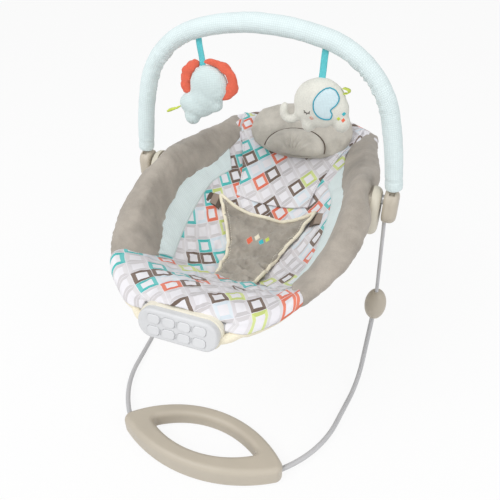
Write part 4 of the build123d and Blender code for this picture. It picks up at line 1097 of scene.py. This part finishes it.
def make_lion():
    """Checked lion with a felt mane in two wavy bands and a lime tail."""
    lion = lumps("lion_body", [toy_ball(-1, *row) for row in LION_BALLS], COATS["lion_plush"], 12)
    ripple(lion, 0.0005, 0.014, 61)
    dress(lion, "left_toy", "lion_plush", "toy_lion", fill=0.8)
    for name, line, seed, node in (("left", MANE_LEFT, 0.6, ["toy_mane"]), ("right", MANE_RIGHT, 1.9, [])):
        mane = band(f"lion_mane_{name}", line, 0.0050, COATS["mane_felt"], 0.16, seed)
        ripple(mane, 0.0006, 0.010, 62)
        dress(mane, "left_toy", "mane_felt", *node, fill=0.4)
    taper = np.interp(np.linspace(0, 1, 40), (0, 0.3, 0.6, 0.85, 1),
                      (0.0018, 0.0022, 0.0030, 0.0040, 0.0022))
    line = smooth_line([toy_point(-1, *row) for row in LION_TAIL], 40)
    tail = tube("lion_tail", line, taper, lime_cloth, flat=0.7)
    ripple(tail, 0.0010, 0.006, 63)
    dress(tail, "left_toy", "mane_felt", fill=0.6)
    skin_at = front_of(lion, (0, 1, 0))
    seam = [skin_at(*toy_point(-1, *row)[[0, 2]]) + (0, -0.0002, 0) for row in LION_SEAM]
    stitch_row("lion_seam", smooth_line(seam, 60), thread_pale, 0.0036, 0.0022, 0.0003, "left_toy")


ELEPHANT_BALLS = (
    (0, 39, 41, 18, 38.5), (13, 46, 33, 16, 26), (-15, 70, 12.5, 12, 16.5), (36, 65, 13, 12, 16),
    (-24, 55, 16, 12, 13),
)
TRUNK = ((-26, 57), (-35, 65), (-45, 70), (-53.5, 67), (-57, 59), (-56, 51))
EAR = (
    (15.5, 11), (24.5, 15), (30.5, 25), (28, 34), (20.5, 42.5), (23, 49), (20.5, 56.5), (12, 58),
    (2, 54), (-5, 44), (-5.5, 31), (0.5, 20), (8.5, 13), (15.5, 11),
)
EYE = (("lid", ((-20.5, 48), (-18.5, 50.5), (-15.5, 51.5), (-12.5, 50.5), (-11, 48))),
       ("lash_a", ((-18.6, 50.5), (-20.2, 52.2))), ("lash_b", ((-15.6, 51.5), (-15.8, 53.6))),
       ("lash_c", ((-12.6, 50.5), (-11.2, 52.2))))
TAG = ((33, 13), (40, 14.5), (42, 17), (40.5, 19.5), (34, 20))


def make_elephant():
    """Cream elephant: curled trunk, embroidered ear, closed eye and three small diamonds."""
    balls = [toy_ball(1, *row) for row in ELEPHANT_BALLS]
    balls += [toy_ball(1, x, z, 6.8, 6.8, 6.8) for x, z in smooth_line(TRUNK, 24)]
    elephant = lumps("elephant_body", balls, COATS["elephant_plush"], 8)
    ripple(elephant, 0.0004, 0.016, 66)
    dress(elephant, "right_toy", "elephant_plush", "toy_elephant", fill=0.8)
    skin_at = front_of(elephant, (0, 1, 0))

    def on_front(line, out):
        """Places in front of the skin, for (across, down) rows in millimetres."""
        return [skin_at(*toy_point(1, x, z)[[0, 2]]) - (0, out * MM, 0) for x, z in line]

    def thread(name, line, out, radius, material, slot, around=6):
        dress(tube(name, on_front(line, out), radius, material, around), "right_toy", slot)

    ear = smooth_line(EAR, 100)
    thread("elephant_ear_edge", ear, 0.5, 0.00090, thread_teal, "ribbon_teal", 8)
    middle = ear.mean(axis=0)
    rings = [on_front(middle + (ear[:-1] - middle) * s, 0.9 - 0.8 * s ** 8)
             for s in (0.03, 0.2, 0.4, 0.6, 0.8, 0.92, 0.99)]
    dress(closed_skin("elephant_ear", rings, COATS["ear_check"]), "right_toy", "sleeve_fabric")
    for name, line in EYE:
        thread(f"elephant_eye_{name}", smooth_line(line, 14), 0.3, 0.00055, thread_dark, "strap_webbing")
    swirl = [(-8.2 + r * cos(a), 58 + r * sin(a))
             for a, r in zip(np.linspace(0, 3.4 * pi, 36), np.linspace(3.1, 0.8, 36))]
    thread("elephant_cheek", swirl, 0.2, 0.0004, thread_blush, "mane_felt")
    for name, x, z, cloth in (("teal", 39.5, 48, teal_cloth), ("lime", 32.5, 55.5, lime_cloth),
                              ("coral", 39.5, 57.5, coral_cloth)):
        rings = [on_front(diamond(0.9, 4) * 3.6 * s + (x, z), 0.5 - 0.6 * s ** 4)
                 for s in (0.05, 0.5, 0.85, 1.0)]
        dress(closed_skin(f"elephant_diamond_{name}", rings, cloth), "right_toy", "mane_felt")
    tag_path = smooth_line([toy_point(1, *row) for row in TAG], 30)
    tag_width = np.linspace(-0.0045, 0.0045, 5)[:, None] * (0.25, 0.95, 0)
    tag = skin("elephant_tag", tag_path[:, None] + tag_width, lime_cloth)
    dress(thicken(tag, 0.0009), "right_toy", "ribbon_teal")


for side_name, side in SIDES:
    make_ribbon(side_name, side, f"{side_name}_toy")
make_lion()
make_elephant()

# ---- studio ----
WHITE = (1, 1, 1, 1)
AMBIENT, PAPER_GLOW = 0.62, 0.9
FLOOR_HALF, FLOOR_Z = 6.0, -0.001
CAMERA_PLACE = (0.27645, -0.74825, 0.80275)
CAMERA_LENS, CAMERA_TILT, CAMERA_TURN = 37.568, radians(90 - 34.531), radians(21)
LAMP_AIM = (0, 0, 0.35)


def make_paper():
    """Pale floor that keeps shadows, and glows nearly white to the camera and in reflections."""
    made = Finish("floor_paper", Base_Color=(0.85, 0.85, 0.85, 1), Roughness=0.9)
    camera, glossy = [made.node("LightPath", output=ray) for ray in ("Is Camera Ray", "Is Glossy Ray")]
    seen, glow = camera.larger(glossy) * PAPER_GLOW, made.node("Emission", None, {"Color": WHITE})
    plain = Value(made, made.shader.outputs["BSDF"])
    made.fill(made.output.inputs["Surface"], made.node("MixShader", None, {0: seen, 1: plain, 2: glow}))
    return made.material


def make_floor():
    mesh = bpy.data.meshes.new("studio_floor")
    corners = ((-1, -1), (1, -1), (1, 1), (-1, 1))
    mesh.from_pydata([(x * FLOOR_HALF, y * FLOOR_HALF, FLOOR_Z) for x, y in corners], [], [(0, 1, 2, 3)])
    floor = coat(add_object("studio_floor", mesh), make_paper())


def make_lamp(name, place, size, watts):
    light = bpy.data.lights.new(name, "AREA")
    light.shape, light.size, light.energy = "DISK", size, watts
    lamp = add_object(name, light)
    lamp.location = place
    lamp.rotation_euler = (Vector(LAMP_AIM) - Vector(place)).to_track_quat("-Z", "Y").to_euler()


def make_world():
    """Even light from all round, and plain white behind the seat for the camera."""
    world = bpy.data.worlds.new("studio")
    bpy.context.scene.world = world
    world.use_nodes = True
    nodes, link = world.node_tree.nodes, world.node_tree.links.new
    nodes.clear()
    path, pick, output = [nodes.new("ShaderNode" + kind)
                          for kind in ("LightPath", "MixShader", "OutputWorld")]
    link(path.outputs["Is Camera Ray"], pick.inputs[0])
    for place, strength in ((1, AMBIENT), (2, 1.0)):
        glow = nodes.new("ShaderNodeBackground")
        glow.inputs["Color"].default_value, glow.inputs["Strength"].default_value = WHITE, strength
        link(glow.outputs[0], pick.inputs[place])
    link(pick.outputs[0], output.inputs["Surface"])


def make_camera():
    camera = bpy.data.cameras.new("studio_camera")
    camera.lens, camera.sensor_width = CAMERA_LENS, 36.0
    holder = add_object("studio_camera", camera)
    holder.location, holder.rotation_euler = CAMERA_PLACE, (CAMERA_TILT, 0, CAMERA_TURN)
    bpy.context.scene.camera = holder


make_floor()
make_world()
make_lamp("key", (-0.9, -1.6, 2.2), 1.6, 34)
make_lamp("fill", (1.8, -0.9, 1.4), 1.4, 12)
make_camera()
bpy.context.scene.view_settings.view_transform = "Standard"
